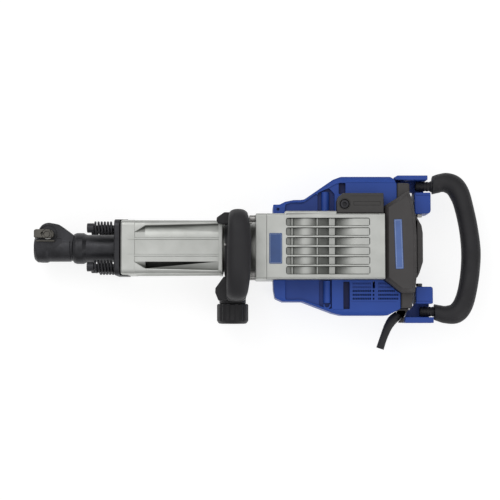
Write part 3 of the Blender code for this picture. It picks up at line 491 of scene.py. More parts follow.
def cast_aluminium(name, painted_shade):
    """Sand-cast aluminium, with painted grey shade in the recesses of the barrel or of the case."""
    s = Shader(name, (0.50, 0.51, 0.49), 0.7, 0.45)
    speck = s.noise(1500, 3, 0.6)
    base = s.tint(s.between(s.noise(22, 5), 0, 1), (0.500, 0.510, 0.485), (0.600, 0.610, 0.585))
    base = s.cover(s.between(speck, 0, 0.12, 0.56, 0.72), base, (0.34, 0.345, 0.33))
    if painted_shade == "barrel":
        # Painted shade: the barrel darkens where its surface sinks towards the axis, between its ribs and
        # corner beams.
        sunk = s.between(s.reach_from_axis(), 0.80, 0.0, 0.0400, 0.0445)
        base = s.cover(sunk, base, (0.145, 0.150, 0.138))
    if painted_shade == "case":
        # Painted shade: the case darkens with depth below its top, towards the floors of its cooling slots.
        level = s.height_above(AXIS_Z)
        deep = s.between(level, 0.88, 0.0, CASE_TOP - 0.0125, CASE_TOP - 0.0012)
        inside = s.between(level, 0.0, 1.0, CASE_TOP - 0.028, CASE_TOP - 0.020)
        base = s.cover(s.both(deep, inside), base, (0.075, 0.080, 0.072))
    s.colour(base)
    s.roughness(s.between(s.noise(60, 4), 0.38, 0.52))
    s.bump(s.noise(750, 4, 0.6), 0.00007)
    s.bump(speck, 0.00003)
    return s.mat


def shell_blue():
    """Blue housing plastic with painted shade that darkens it towards the bottom of its recesses and outer
    bevels.
    """
    s = Shader("shell_blue", (0.03, 0.085, 0.40), 0.0, 0.42)
    base = s.tint(s.between(s.noise(14, 3), 0, 1), (0.0205, 0.0650, 0.325), (0.0265, 0.0800, 0.380))
    # Painted shade: the blue darkens with depth below the shell's top, in the recesses and on the outer
    # bevels.
    level = s.height_above(AXIS_Z)
    deep = s.between(level, 0.97, 0.0, SHELL_TOP - 0.0105, SHELL_TOP - 0.0025)
    inside = s.between(level, 0.0, 1.0, SHELL_TOP - 0.020, SHELL_TOP - 0.014)
    s.colour(s.cover(s.both(deep, inside), base, (0.0065, 0.0125, 0.085)))
    s.roughness(s.between(s.noise(90, 4), 0.38, 0.5))
    s.bump(s.noise(1400, 2, 0.5), 0.00006)
    return s.set(Specular_IOR_Level=0.3).mat


def black_steel():
    """Blackened steel with an oily sheen and faint handling marks."""
    colour = (0.022, 0.022, 0.025)
    s = Shader("black_steel", colour, 0.55, 0.34)
    lighter = tuple(c * 1.9 + 0.004 for c in colour)
    s.colour(s.tint(s.between(s.noise(45, 6, 0.65), 0, 1), colour, lighter))
    s.roughness(s.between(s.noise(120, 5), 0.34, 0.5))
    s.bump(s.noise(1200, 3), 0.00004)
    return s.mat


def steel(name, colour, rough, stretch=(1, 1, 1)):
    """Bare metal with cloudy tarnish, stretched along an axis for windings."""
    s = Shader(name, colour, 0.95, rough[0])
    s.colour(s.tint(s.between(s.noise(55, 6, 0.6, stretch), 0, 1), shaded(colour, 0.72), colour))
    s.roughness(s.between(s.noise(240, 4, 0.6, stretch), *rough))
    s.bump(s.noise(1800, 2, 0.5, stretch), 0.00003)
    return s.mat


def moulded(name, colour, rough, grain_scale=1400, grain_depth=0.00006, specular=0.5):
    """Injection-moulded plastic: an even colour, a fine spark texture and slightly cloudy gloss."""
    s = Shader(name, colour, 0.0, rough[0])
    s.colour(s.tint(s.between(s.noise(14, 3), 0, 1), shaded(colour, 0.88), shaded(colour, 1.12)))
    s.roughness(s.between(s.noise(90, 4), *rough))
    s.bump(s.noise(grain_scale, 2, 0.5), grain_depth)
    return s.set(Specular_IOR_Level=specular).mat


def rubber():
    """Black rubber with a fine pebbled skin."""
    colour = (0.0145, 0.0140, 0.0165)
    s = Shader("black_rubber", colour, 0.0, 0.62)
    s.colour(s.tint(s.between(s.noise(30, 4), 0, 1), shaded(colour, 0.85), shaded(colour, 1.25)))
    s.roughness(s.between(s.noise(60, 4), 0.5, 0.66))
    s.bump(s.cells(900), 0.0001, 0.6)
    return s.set(Specular_IOR_Level=0.4).mat


def plate_paint(name, colour):
    """The smooth satin print of a nameplate."""
    s = Shader(name, colour, 0.0, 0.4)
    s.colour(s.tint(s.between(s.noise(35, 4), 0, 1), shaded(colour, 0.9), shaded(colour, 1.1)))
    s.roughness(s.between(s.noise(200, 3), 0.32, 0.46))
    s.bump(s.noise(900, 2), 0.00002)
    return s.mat


CAST = cast_aluminium("cast_barrel", "barrel")
CASE_CAST = cast_aluminium("cast_case", "case")
SHELL_BLUE = shell_blue()
BLACK_STEEL = black_steel()
STEEL = steel("bright_steel", (0.42, 0.415, 0.40), (0.26, 0.42))
LEVER_STEEL = steel("lever_steel", (0.135, 0.128, 0.115), (0.38, 0.55))
BLUE = moulded("blue_plastic", (0.0225, 0.0660, 0.325), (0.38, 0.5), specular=0.3)
GREY = moulded("dark_plastic", (0.047, 0.043, 0.043), (0.42, 0.56), 1100, 0.00009)
COVER_GREY = moulded("cover_plastic", (0.038, 0.0355, 0.0345), (0.42, 0.56), 1100, 0.00009)
BLACK = moulded("black_plastic", (0.0125, 0.0120, 0.0140), (0.4, 0.55), 1200, 0.00007, specular=0.35)
RUBBER = rubber()
PLATE = plate_paint("plate_blue", (0.040, 0.088, 0.255))
COVER_PLATE = plate_paint("plate_blue_light", (0.085, 0.155, 0.40))
PALE = plate_paint("plate_border", (0.42, 0.50, 0.66))


# ---- front end ----------------------------------------------------------------------------
def tool_holder():
    """A turned holder with a hump for the retainer and a hexagonal socket for the tool."""
    axis = at(0, 0, 0)
    nose, waist, collar, sleeve, seat = 0.0243, 0.0226, 0.0264, 0.0232, 0.033
    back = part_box("tool_holder")[1].x
    profile = [(NOSE_X, 0), (NOSE_X, 0.0192), (NOSE_X + 0.005, nose - 0.0008), (NOSE_X + 0.012, nose),
               (-0.3560, nose), (-0.3520, waist), (-0.3160, waist), (-0.3150, 0.0212), (-0.3125, 0.0212),
               (-0.3100, collar - 0.0016), (-0.3055, collar), (-0.2945, collar), (-0.2885, sleeve),
               (BARREL_LOW.x - 0.0012, sleeve), (BARREL_LOW.x - 0.0007, seat), (back, seat), (back, 0)]
    radii = [0, 0.003, 0.004, 0.002, 0.002, 0.002, 0.0006, 0.0005, 0.0005, 0.002, 0.002, 0.002, 0.002,
             0, 0, 0.001, 0]
    body = lathe(turned(profile, radii), axis, steps=64)
    x, y = RETAINER_XY
    hump = arc((x + 0.0005, y + 0.003), 0.0177, 180, 75, 16)
    hump += [(-0.3405, 0.0410), (-0.3346, 0.0395), (-0.3250, 0.0327), (-0.3156, 0.0256), (-0.3085, 0.0205),
             (-0.3085, 0.0065), (x - 0.0172, 0.0065)]
    body = join(body, slab(hump, AXIS_Z - 0.0216, AXIS_Z + 0.019, top=0.003, bottom=0.002))
    hexagon = arc((0, AXIS_Z), SHANK_HEX / math.sqrt(3), 30, 330, 5)
    recess = rounded([(NOSE_X - 0.01, -0.0015), (-0.3400, -0.0015), (-0.3300, 0.0075), (-0.3300, 0.0158),
                      (NOSE_X - 0.01, 0.0158)], [0, 0.002, 0.002, 0, 0], 3)
    for hole in (cylinder((x, y, 0), 0.0083, AXIS_Z - 0.03, AXIS_Z + 0.03, "Z", 32),
                 pocket(recess, AXIS_Z + 0.0178, AXIS_Z + 0.0240, lip=0.0004, base=0.0008),
                 tube((x, y, 0), 0.0142, 0.0162, AXIS_Z + 0.0172, AXIS_Z + 0.03, "Z", 48),
                 pocket(hexagon, -0.300, NOSE_X, lip=0.0014, axis="X"),
                 cylinder(axis, 0.0163, -0.301, back + 0.01)):
        body = cut(body, hole)
    return piece("tool_holder_body", body, BLACK_STEEL, "tool_holder")


def retainer():
    """The lever with the spring strip beside it, and the cross pin that holds the tool."""
    low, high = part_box("retainer_lever")
    x, y = RETAINER_XY
    outline = rounded([(low.x, low.y + 0.0005), (-0.352, low.y), (high.x - 0.0025, low.y + 0.0005),
                       (high.x, low.y + 0.0035), (high.x, low.y + 0.008), (high.x - 0.0045, high.y - 0.0011),
                       (high.x - 0.009, high.y), (low.x + 0.003, high.y), (low.x, high.y - 0.0021)],
                      [0.0015, 0.004, 0.002, 0.002, 0.003, 0.003, 0.002, 0.0015, 0.0015])
    lever = slab(outline, low.z, high.z, top=0.0012, bottom=0.0006)
    hole = pocket(circle((low.x + 0.0138, low.y + 0.0075), 0.0024, 24), low.z + 0.003, high.z, lip=0.0005)
    crescents = [tube((x, y, 0), inner, inner + 0.0009, high.z - 0.003, high.z + 0.01, "Z", 48)
                 for inner in (0.0046, 0.0082)]
    side = box((high.x - 0.0055, high.y - 0.0050, 0.0300), (high.x + 0.01, high.y + 0.01, 0.05))
    lever = cut(cut(lever, hole, side), several(crescents))
    piece("retainer_lever_body", lever, LEVER_STEEL, "retainer_lever")
    strip = slab(rectangle(low.x + 0.0020, 0.0105, high.x - 0.0005, 0.0135, 0.0008),
                 AXIS_Z + 0.0180, AXIS_Z + 0.0221, top=0.0004)
    detail("retainer_spring_strip", strip, LEVER_STEEL, "tool_holder")
    foot, ledge, head, shank = PIN_LOW.z, AXIS_Z - 0.0219, 0.0105, 0.008
    profile = [(foot, 0), (foot, head), (ledge, head), (ledge, shank), (PIN_HIGH.z, shank), (PIN_HIGH.z, 0)]
    pin = lathe(turned(profile, [0, 0.001, 0.0003, 0.0003, 0.0006, 0], 3), (x, y, 0), "Z", 40)
    notch = cylinder(at(0, 0, 0), 0.015, x - 0.009, x + 0.009, steps=48)
    notch.transform(Matrix.Translation((0, 0.049, 0)))
    piece("retainer_pin_body", cut(pin, notch), STEEL, "retainer_pin")


def front_flange():
    """The plate ahead of the barrel, with a thin skirt along each side of the collar."""
    half = FLANGE_HIGH.z - AXIS_Z
    square = rectangle(-half, AXIS_Z - half, half, AXIS_Z + half, 0.012, 8)
    plate = slab(square, FLANGE_LOW.x, FLANGE_LOW.x + 0.009, top=0.0008, bottom=0.0022, axis="X")
    skirts = []
    for side in (-1, 1):
        low, high = sorted((side * 0.0463, side * FLANGE_HIGH.y))
        skirts.append(slab(rectangle(FLANGE_LOW.x + 0.0030, low, FLANGE_HIGH.x, high, 0.0004, 2),
                           AXIS_Z - 0.028, AXIS_Z + 0.028, top=0.0003, bottom=0.0003))
    holes = [cylinder(at(0, y, z), 0.0055, -0.26, -0.22, steps=24) for y, z in FLANGE_BOLTS]
    body = cut(join(plate, *skirts), cylinder(at(0, 0, 0), 0.0235, -0.26, -0.22), *holes)
    piece("front_flange_body", body, BLACK_STEEL, "front_flange")


def flange_bolts():
    head, shank = 0.008, 0.0046
    for k, (y, z) in enumerate(FLANGE_BOLTS, 1):
        low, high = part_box(f"flange_bolt_{k}")
        head_end = low.x + 0.0115
        profile = [(low.x, 0), (low.x, head), (head_end, head), (head_end, shank), (high.x, shank),
                   (high.x, 0)]
        bolt = lathe(turned(profile, [0, 0.0010, 0.0004, 0.0004, 0.0005, 0]), at(0, y, z), steps=40)
        socket = pocket(circle((y, AXIS_Z + z), 0.0042, 6), low.x + 0.005, low.x, lip=0.0004, axis="X")
        piece(f"flange_bolt_{k}_body", cut(bolt, socket), BLACK_STEEL, f"flange_bolt_{k}")


def damper_springs():
    """Coils of wire round the flange bolts, each with a mesh of its own."""
    turns, mean, wire, per_turn = 5.75, 0.0094, 0.0019, 28
    for k, (y, z) in enumerate(FLANGE_BOLTS, 1):
        node = f"damper_spring_{k}"
        low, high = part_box(node)
        start, end = low.x + wire, high.x - wire
        path = []
        steps = int(turns * per_turn)
        for i in range(steps + 1):
            angle = 2 * math.pi * i / per_turn
            path.append((start + (end - start) * i / steps, y + mean * math.cos(angle),
                         AXIS_Z + z + mean * math.sin(angle), wire, wire))
        obj = piece(f"{node}_coil", sweep(path, (1, 0, 0), sides=12), BLACK_STEEL, node, sharp=60)
        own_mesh(obj)


# ---- barrel -------------------------------------------------------------------------------
def barrel_section(edge):
    """The ribbed section of the barrel, with its corner beams starting at edge, as (y, z) points."""
    half, corner = BARREL_HALF - 0.0004, 0.0095
    flat, centre = half - 0.0013, half - corner

    def crest(a):
        return half if a <= centre else centre + math.sqrt(corner ** 2 - (a - centre) ** 2)

    floor = max(flat - 0.62 * (edge - 0.0245), edge + 0.0012)
    side = [(edge + 0.0013, crest(edge + 0.0013)), (edge, crest(edge) - 0.0006), (edge - 0.0008, floor),
            (0.0245, flat), (0.0160, flat), (0.0156, half - 0.0004), (0.0150, half), (0.0130, half),
            (0.0124, half - 0.0004), (0.0120, flat)]
    mirrored = [(-a, b) for a, b in reversed(side)]
    turn = min(84.0, math.degrees(math.acos(max(0.0, edge + 0.0026 - centre) / corner)))
    run = arc((centre, centre), corner, 90 - turn, turn, 6) + side + mirrored
    points = []
    for k in range(4):
        c, s = round(math.cos(math.pi / 2 * k)), round(math.sin(math.pi / 2 * k))
        points += [(a * c - b * s, AXIS_Z + a * s + b * c) for a, b in run]
    return points


def collar_slits():
    """Short slits at the collar's back edge, in line with the ribs of each side."""
    slits, half, width = [], BARREL_HALF, 0.0004
    upright = Matrix.Translation((0, 0, AXIS_Z))
    for k in range(4):
        for side in (-1, 1):
            slit = box((COLLAR_END_X - 0.0115, side * 0.0122 - width, half - 0.0009),
                       (COLLAR_END_X + 0.01, side * 0.0122 + width, half + 0.01))
            slit.transform(upright @ Matrix.Rotation(math.pi / 2 * k, 4, "X") @ upright.inverted())
            slits.append(slit)
    return several(slits)


def barrel_housing():
    """A square collar, a ribbed length with a rim, a round neck and the flange on the crankcase."""
    half = BARREL_HALF
    square = rectangle(-half, AXIS_Z - half, half, AXIS_Z + half, 0.0095, 6)
    collar = slab(square, BARREL_LOW.x, COLLAR_END_X, top=0.0007, bottom=0.0050, axis="X", steps=6)
    stations = [(COLLAR_END_X - 0.003, 0.0258), (COLLAR_END_X + 0.0010, 0.0258),
                (COLLAR_END_X + 0.0165, 0.0352), (COLLAR_END_X + 0.0180, 0.0362),
                (BARREL_END_X - 0.003, 0.0392)]
    ribbed = loft([[Vector((x, *point)) for point in barrel_section(edge)] for x, edge in stations])
    rim = slab(square, BARREL_END_X - 0.0065, BARREL_END_X, top=0.0012, bottom=0.0006, axis="X")
    root, step, foot = BARREL_END_X - 0.004, BARREL_END_X + 0.0012, NECK_END_X + 0.002
    profile = [(root, 0), (root, 0.0435), (step, 0.0435), (step, 0.040), (NECK_END_X - 0.010, 0.040),
               (foot, 0.0480), (foot, 0)]
    neck = lathe(turned(profile, [0, 0, 0.0008, 0.001, 0.006, 0, 0], 5), at(0, 0, 0), steps=72)
    plate = rectangle(-CASE_HALF, 0.0, CASE_HALF, CASE_HIGH.z, 0.0042, 5)
    flange = slab(plate, NECK_END_X, FLANGE_END_X, top=0.0004, bottom=0.0012, axis="X")
    body = join(join(ribbed, cut(collar, collar_slits())), rim)
    body = join(body, join(neck, flange))
    holes = [cylinder(at(0, y, z), 0.0051, -0.26, -0.2045, steps=24) for y, z in FLANGE_BOLTS]
    rear = [cylinder(at(0, y, z), 0.0036, -0.03, 0.03, steps=24) for y, z in CASE_BOLTS]
    top = CASE_HIGH.z
    marks = [tube((NECK_END_X + 0.0095, y, 0), 0.0030, 0.0035, top - 0.0003, top + 0.01, "Z", 24)
             for y in (0.0430, -0.0430)]
    body = cut(cut(body, cylinder(at(0, 0, 0), 0.0356, -0.26, 0.03)), several(holes + rear + marks))
    piece("barrel_housing_body", body, CAST, "barrel_housing", sharp=28)


def case_bolts():
    """Socket screws with a washer under each head."""
    head, washer, shank = 0.0060, 0.0063, 0.0031
    for k, (y, z) in enumerate(CASE_BOLTS, 1):
        low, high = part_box(f"case_bolt_{k}")
        under = low.x + 0.0105
        over = under - 0.0018
        profile = [(low.x, 0), (low.x, head), (over, head), (over, washer), (under, washer), (under, shank),
                   (high.x, shank), (high.x, 0)]
        radii = [0, 0.0012, 0.0003, 0.0003, 0.0003, 0.0003, 0, 0]
        bolt = lathe(turned(profile, radii, 3), at(0, y, z), steps=40)
        socket = pocket(circle((y, AXIS_Z + z), 0.0034, 6), low.x + 0.0045, low.x, lip=0.0004, axis="X")
        piece(f"case_bolt_{k}_body", cut(bolt, socket), STEEL, f"case_bolt_{k}")


# ---- crankcase ----------------------------------------------------------------------------
def slot_floor(start, end, steps=14):
    """The uneven floor of a cooling slot over the gearcase, as (x, above axis) points."""
    top = CASE_TOP
    floor = [(start, top - 0.0075), (0.0552, top - 0.0088), (0.0566, top - 0.0052), (0.0586, top - 0.0052),
             (0.0600, top - 0.0098)]
    floor += [(0.0600 + 0.0370 * i / steps, top - 0.0098 + 0.0068 * math.sin(math.pi * (i / steps) ** 1.2))
              for i in range(1, steps)]
    floor += [(0.0975, top - 0.0092), (0.0984, top - 0.0046), (0.1002, top - 0.0046), (0.1014, top - 0.0098),
              (0.1060, top - 0.0118), (0.1180, top - 0.0124), (0.1188, top - 0.0042), (0.1282, top - 0.0042),
              (0.1290, top - 0.0128), (0.1345, top - 0.0118)]
    floor += [(0.1345 + 0.0335 * i / steps, top - 0.0118 + 0.0098 * math.sin(math.pi * 0.5 * i / steps))
              for i in range(1, steps + 1)]
    return floor + [(end, top - 0.0022)]


def crankcase():
    """The cast case with its stepped edge, a hollow for the gears and motor, and six cooling slots."""
    plate = rectangle(-CASE_HALF, 0.0, CASE_HALF, CASE_HIGH.z, 0.0042, 5)
    body = slab(plate, CASE_LOW.x, CASE_HIGH.x, top=0.0006, bottom=0.0004, axis="X")
    step_outline = rounded([(0.0425, 0.050), (0.1317, 0.050), (0.1317, CASE_HIGH.y), (0.047, CASE_HIGH.y),
                            (0.0440, CASE_HALF - 0.0003)], [0, 0, 0.001, 0.003, 0.002])
    step = slab(step_outline, AXIS_Z + SHELL_TOP + 0.0005, CASE_HIGH.z, top=0.0035)
    cavity = box((0.021, -CASE_HALF + 0.004, -AXIS_Z + 0.0045), (0.25, CASE_HALF - 0.004, CASE_TOP - 0.0168))
    motor_low, motor_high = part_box("stator")
    motor = cylinder(((motor_low.x + motor_high.x) / 2, 0, AXIS_Z), 0.024, 0.04, 0.07, "Y", 32)
    body = cut(join(body, step), cavity, cylinder(at(0, 0, 0), 0.0353, 0.0, 0.03), motor)
    start, end, half, groove, deep = 0.0476, 0.1862, 0.0067, 0.0009, CASE_HIGH.z - 0.0148
    slots = []
    for k in range(6):
        middle = 0.040 - 0.016 * k
        mouth = rectangle(start, middle - half, end, middle + half, 0.0032, 5)
        opening = pocket(mouth, deep, CASE_HIGH.z, lip=0.0006)
        outline = [(x, AXIS_Z + z) for x, z in slot_floor(start + groove, end - groove)]
        outline += [(end - groove, deep - 0.002), (start + groove, deep - 0.002)]
        island = slab(outline[::-1], middle - half + groove, middle + half - groove, axis="Y")
        slots.append(cut(opening, island))
    piece("crankcase_body", cut(body, several(slots)), CASE_CAST, "crankcase", sharp=28)


# ---- blue shells --------------------------------------------------------------------------
def bevelled(outline, wide, low, high, reach=0.0088, drop=0.0052):
    """A shell cut to its outline, with a wide bevel along the outer edges of a larger outline."""
    body = slab(outline, low, high, top=0.0010, bottom=0.002)
    levels = ((0.0, low - 0.01), (0.0, high - drop), (reach * 0.5, high - drop * 0.42),
              (reach, high - 0.0002), (reach + 0.0012, high + 0.0002))
    return combine(body, [stack(wide, levels)], "INTERSECT")


def upper_shell():
    """The shell on the brush side, with a stepped recess, a channel with a column, and the brush panel."""
    low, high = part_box("upper_shell")
    edge, top = low.y, high.z
    outline = rounded([(low.x, edge), (0.2115, edge), (0.2115, 0.0687), (high.x, 0.0826), (high.x, 0.1065),
                       (0.2300, 0.1150), (0.2240, high.y), (0.1405, high.y), (0.1275, 0.1142),
                       (0.080, 0.0815),
                       (0.074, 0.0800), (0.062, 0.0800), (0.047, 0.0770), (0.0376, 0.0720), (low.x, 0.0720)],
                      [0, 0, 0, 0.001, 0.003, 0.003, 0.003, 0.012, 0.012, 0.010, 0.006, 0.010, 0.010,
                       0.004, 0.0015])
    wide = rounded([(low.x - 0.03, edge - 0.03), (0.30, edge - 0.03), (0.30, high.y), (0.1405, high.y),
                    (0.1275, 0.1142), (0.0785, 0.0806), (0.060, 0.0798), (0.045, 0.0765),
                    (low.x - 0.03, 0.0725)],
                   [0, 0, 0, 0.012, 0.012, 0.008, 0.008, 0.008, 0])
    body = bevelled(outline, wide, low.z, top)
    recess = rounded([(0.0470, edge - 0.01), (0.1020, edge - 0.01), (0.1020, 0.0925), (0.0795, 0.0768),
                      (0.0740, 0.0755), (0.0560, 0.0755), (0.0470, 0.0715)],
                     [0, 0, 0.003, 0.006, 0.004, 0.006, 0.003])
    channel = rounded([(0.1015, edge - 0.01), (0.1300, edge - 0.01), (0.1300, 0.0900), (0.1215, 0.0990),
                       (0.1180, 0.0990), (0.1015, 0.0915)], [0, 0, 0.002, 0.002, 0.002, 0.003])
    middle = rounded([(0.1190, 0.0890), (0.1400, 0.0890), (0.1400, 0.1085), (0.1290, 0.1050),
                      (0.1190, 0.0990)],
                     [0, 0, 0.003, 0.004, 0.002])
    dark = rectangle(0.1370, 0.0895, 0.1485, 0.1082, 0.0018)
    panel = rounded([(0.1485, edge - 0.01), (0.260, edge - 0.01), (0.260, 0.1085), (0.1485, 0.1085)],
                    [0, 0, 0.001, 0.001])
    opening = box((0.1545, edge - 0.001, 0.020), (0.2035, 0.088, 0.06))
    inside = [box((0.034, 0.0, -0.046), (0.207, 0.0685, 0.0225)),
              box((0.108, 0.05, -0.046), (0.207, 0.094, 0.0215)),
              box((0.142, 0.05, -0.046), (0.207, 0.1135, 0.0195))]
    screw_low, screw_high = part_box("brush_cover_screw")
    middle_of_screw = ((screw_low.x + screw_high.x) / 2, (screw_low.y + screw_high.y) / 2, 0)
    screw = cylinder(middle_of_screw, 0.0030, AXIS_Z + 0.018, AXIS_Z + 0.06, "Z", 16)
    boss_hole = cylinder((0.0350, 0.0640, 0), 0.0026, top - 0.006, top + 0.01, "Z", 24)
    body = cut(body, *inside)
    for hollow in (pocket(recess, top - 0.0055, top, lip=0.0010, base=0.0010),
                   pocket(channel, top - 0.0088, top, lip=0.0008, base=0.0010),
                   pocket(middle, top - 0.0022, top, lip=0.0010),
                   pocket(panel, top - 0.0007, top, lip=0.0008),
                   pocket(dark, top - 0.0105, top, lip=0.0006), opening, screw, boss_hole):
        body = cut(body, hollow)
    column = cylinder((0.1144, 0, top - 0.0078), 0.0068, edge + 0.001, 0.0935, "Y", 40, edge=0.001)
    piece("upper_shell_body", join(body, column), SHELL_BLUE, "upper_shell", sharp=28)


def lower_shell():
    """The shell on the knob side, with a recess, a channel with a column and its cup, and vents."""
    low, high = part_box("lower_shell")
    edge, top = high.y, high.z
    outline = rounded([(low.x, edge), (low.x + 0.0005, -0.0700), (0.0300, -0.0850), (0.0430, -0.0910),
                       (0.0760, -0.0910), (0.1275, -0.1105), (0.1420, low.y), (0.2180, low.y),
                       (high.x, -0.1026), (high.x, -0.0768), (0.2358, -0.0749), (0.2115, edge)],
                      [0, 0.01, 0.003, 0.003, 0.012, 0.016, 0.014, 0.004, 0.002, 0.001, 0.001, 0])
    wide = rounded([(low.x - 0.03, edge + 0.03), (low.x - 0.03, -0.0908), (0.0760, -0.0908),
                    (0.1275, -0.1105),
                    (0.1420, low.y), (0.30, low.y), (0.30, edge + 0.03)], [0, 0, 0.012, 0.016, 0.014, 0, 0])
    body = bevelled(outline, wide, low.z, top, reach=0.0060, drop=0.0042)
    recess = rounded([(0.0470, edge + 0.01), (0.1045, edge + 0.01), (0.1045, -0.0985), (0.0765, -0.0880),
                      (0.0470, -0.0880)], [0, 0, 0.003, 0.010, 0.003])
    channel = rounded([(0.1035, edge + 0.01), (0.1249, edge + 0.01), (0.1249, -0.1040), (0.1035, -0.0985)],
                      [0, 0, 0.003, 0.003])
    middle = rounded([(0.1249, edge + 0.01), (0.1450, edge + 0.01), (0.1450, -0.1050), (0.1249, -0.1040)],
                     [0, 0, 0.003, 0.002])
    dark = rectangle(0.1440, -0.1035, 0.1546, -0.0575, 0.0018)
    inside = [box((0.034, -0.0845, -0.046), (0.207, 0.0, 0.0225)),
              box((0.128, -0.105, -0.046), (0.207, -0.07, 0.0195)),
              box((0.150, -0.1095, -0.046), (0.207, -0.10, 0.0195)),
              box((0.205, -0.1005, -0.046), (0.231, -0.078, 0.0225))]
    crease = slab(rectangle(0.1570, -0.0912, 0.2340, -0.0904), top - 0.0006, top + 0.01)
    body = cut(body, *inside)
    for hollow in (pocket(recess, top - 0.0050, top, lip=0.0010, base=0.0010),
                   pocket(channel, top - 0.0080, top, lip=0.0008, base=0.0010),
                   pocket(middle, top - 0.0014, top, lip=0.0010),
                   pocket(dark, top - 0.0105, top, lip=0.0006), crease, several(vent_holes(top))):
        body = cut(body, hollow)
    column = cylinder((0.1168, 0, top - 0.0072), 0.0064, -0.0935, edge - 0.001, "Y", 40, edge=0.001)
    cup = cut(tube((0.1168, -0.0965, 0), 0.0042, 0.0062, top - 0.0090, top - 0.0012, "Z", 40, edge=0.0006),
              box((0.10, -0.0955, -0.01), (0.13, -0.08, 0.06)))
    piece("lower_shell_body", join(join(body, column), cup), SHELL_BLUE, "lower_shell", sharp=28)


def vent_holes(top):
    """Five rows of small louvre holes, broken by a solid column and cut off by the rear cover's edge.

    The first two rows are blind, and the other three go through.
    """
    start, pitch, blind, through, above = 0.1597, 0.00285, top - 0.0018, top - 0.0145, top + 0.002
    holes = [slab(rectangle(0.1931, -0.0687, 0.1970, -0.0573, 0.0006), through, above)]
    for row, y in enumerate((-0.0607, -0.0668, -0.0732, -0.0797, -0.0861)):
        for x in (start + pitch * k for k in range(27)):
            column = 0.1900 < x < 0.2010
            beyond = x > 0.2345 or x > 0.2060 and y > -0.0500 - (x - 0.2080) * 1.02
            if not column and not beyond:
                hole = rectangle(x, y - 0.0017, x + 0.0019, y + 0.0017)
                holes.append(slab(hole, blind if row < 2 else through, above))
        if row > 1:
            holes.append(slab(rectangle(0.1932, y - 0.0016, 0.1958, y + 0.0016), through, above))
    return holes


# ---- brush cover --------------------------------------------------------------------------
def brush_cover():
    """The cover over a carbon brush, with a raised line, a framed pad and a deep seat for its screw."""
    low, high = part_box("brush_cover")
    top = high.z
    level = top - AXIS_Z
    outline = rounded([(low.x, low.y), (high.x, low.y), (high.x, high.y), (low.x + 0.0105, high.y),
                       (low.x + 0.002, high.y - 0.0065), (low.x, high.y - 0.013)],
                      [0.001, 0.001, 0.0015, 0.005, 0.006, 0.004])
    body = slab(outline, low.z, top, top=0.0016)
    centre = (low.x + 0.0130, low.y + 0.0152)
    inside = box((low.x + 0.024, low.y + 0.0034, SHELL_TOP - 0.01),
                 (high.x - 0.0035, high.y - 0.0035, level - 0.0035))
    seat = lathe([(top - 0.0095, 0), (top - 0.0095, 0.0078), (top - 0.0006, 0.0080), (top + 0.0002, 0.0088),
                  (top + 0.01, 0.0088), (top + 0.01, 0)], (*centre, 0), "Z", 48)
    ring = lathe([(top - 0.0007, 0.0093), (top - 0.0007, 0.0098), (top + 0.004, 0.0103),
                  (top + 0.004, 0.0091)],
                 (*centre, 0), "Z", 48, ring=True)
    shank = cylinder((*centre, 0), 0.0031, AXIS_Z, top, "Z", 24)
    pad = rectangle(low.x + 0.0275, low.y + 0.0128, high.x - 0.0055, low.y + 0.0195, 0.0008)
    frame_cut = cut(slab(pad, top - 0.0009, top + 0.01), slab(offset(pad, 0.0007), top - 0.002, top + 0.02))
    line = box((low.x + 0.024, high.y - 0.0052, level - 0.0006),
               (high.x - 0.002, high.y - 0.0046, level + 0.01))
    dots = [cylinder((high.x - 0.0030, low.y + up, 0), 0.0006, top - 0.0006, top + 0.01, "Z", 12)
            for up in (0.0060, 0.0290)]
    body = cut(body, inside, seat, ring, shank, frame_cut, line, *dots)
    piece("brush_cover_body", body, COVER_GREY, "brush_cover", sharp=28)
    low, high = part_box("brush_cover_screw")
    shank, head, under = 0.0026, 0.0073, high.z - 0.0045
    profile = [(low.z, 0), (low.z, shank), (under, shank), (under, head), (high.z, head), (high.z, 0)]
    screw = lathe(turned(profile, [0, 0.0004, 0.0002, 0.0002, 0.0012, 0], 3), (*centre, 0), "Z", 48)
    socket = pocket(circle(centre, 0.0037, 6), high.z - 0.0040, high.z, lip=0.0004)
    piece("brush_cover_screw_body", cut(screw, socket), BLACK_STEEL, "brush_cover_screw")


# ---- rear cover, switch and plates --------------------------------------------------------
def rear_cover():
    """A tall bevelled middle with a lower tab at each end."""
    low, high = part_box("rear_cover")
    top = high.z
    right = [(0.2590, 0.075), (0.2630, 0.050), (0.2650, 0.020), (0.2650, -0.045), (0.2615, -0.077)]
    tall = rounded([(low.x, 0.0680), (0.2360, 0.0830), (0.2520, 0.0940), *right, (0.2403, -0.0765),
                    (0.2362, -0.0744), (low.x, -0.0543)],
                   [0.002, 0.003, 0.003, 0.01, 0.02, 0.02, 0.02, 0.004, 0.001, 0.001, 0.002])
    body = stack(tall, ((0.0, low.z), (0.0, top - 0.0068), (0.0052, top - 0.0010), (0.0066, top)))
    tab = rounded([(0.2345, 0.0700), (0.2345, high.y), (0.2555, high.y), (0.2560, 0.0920), (0.2590, 0.0700)],
                  [0, 0.003, 0.004, 0.004, 0.0])
    foot = rounded([(0.2403, -0.0600), (0.2403, low.y), (0.2585, low.y), (0.2612, -0.0760),
                    (0.2640, -0.0500)],
                   [0, 0.001, 0.002, 0.003, 0])
    for part in (tab, foot):
        body = join(body, slab(part, low.z + 0.0005, AXIS_Z + 0.038, top=0.004, bottom=0.001))
    inside = [box((0.20, -0.049, -0.043), (0.2605, 0.050, 0.0515)),
              box((0.2440, -0.098, -0.043), (0.2510, 0.088, 0.032))]
    piece("rear_cover_body", cut(body, *inside), GREY, "rear_cover", sharp=28)


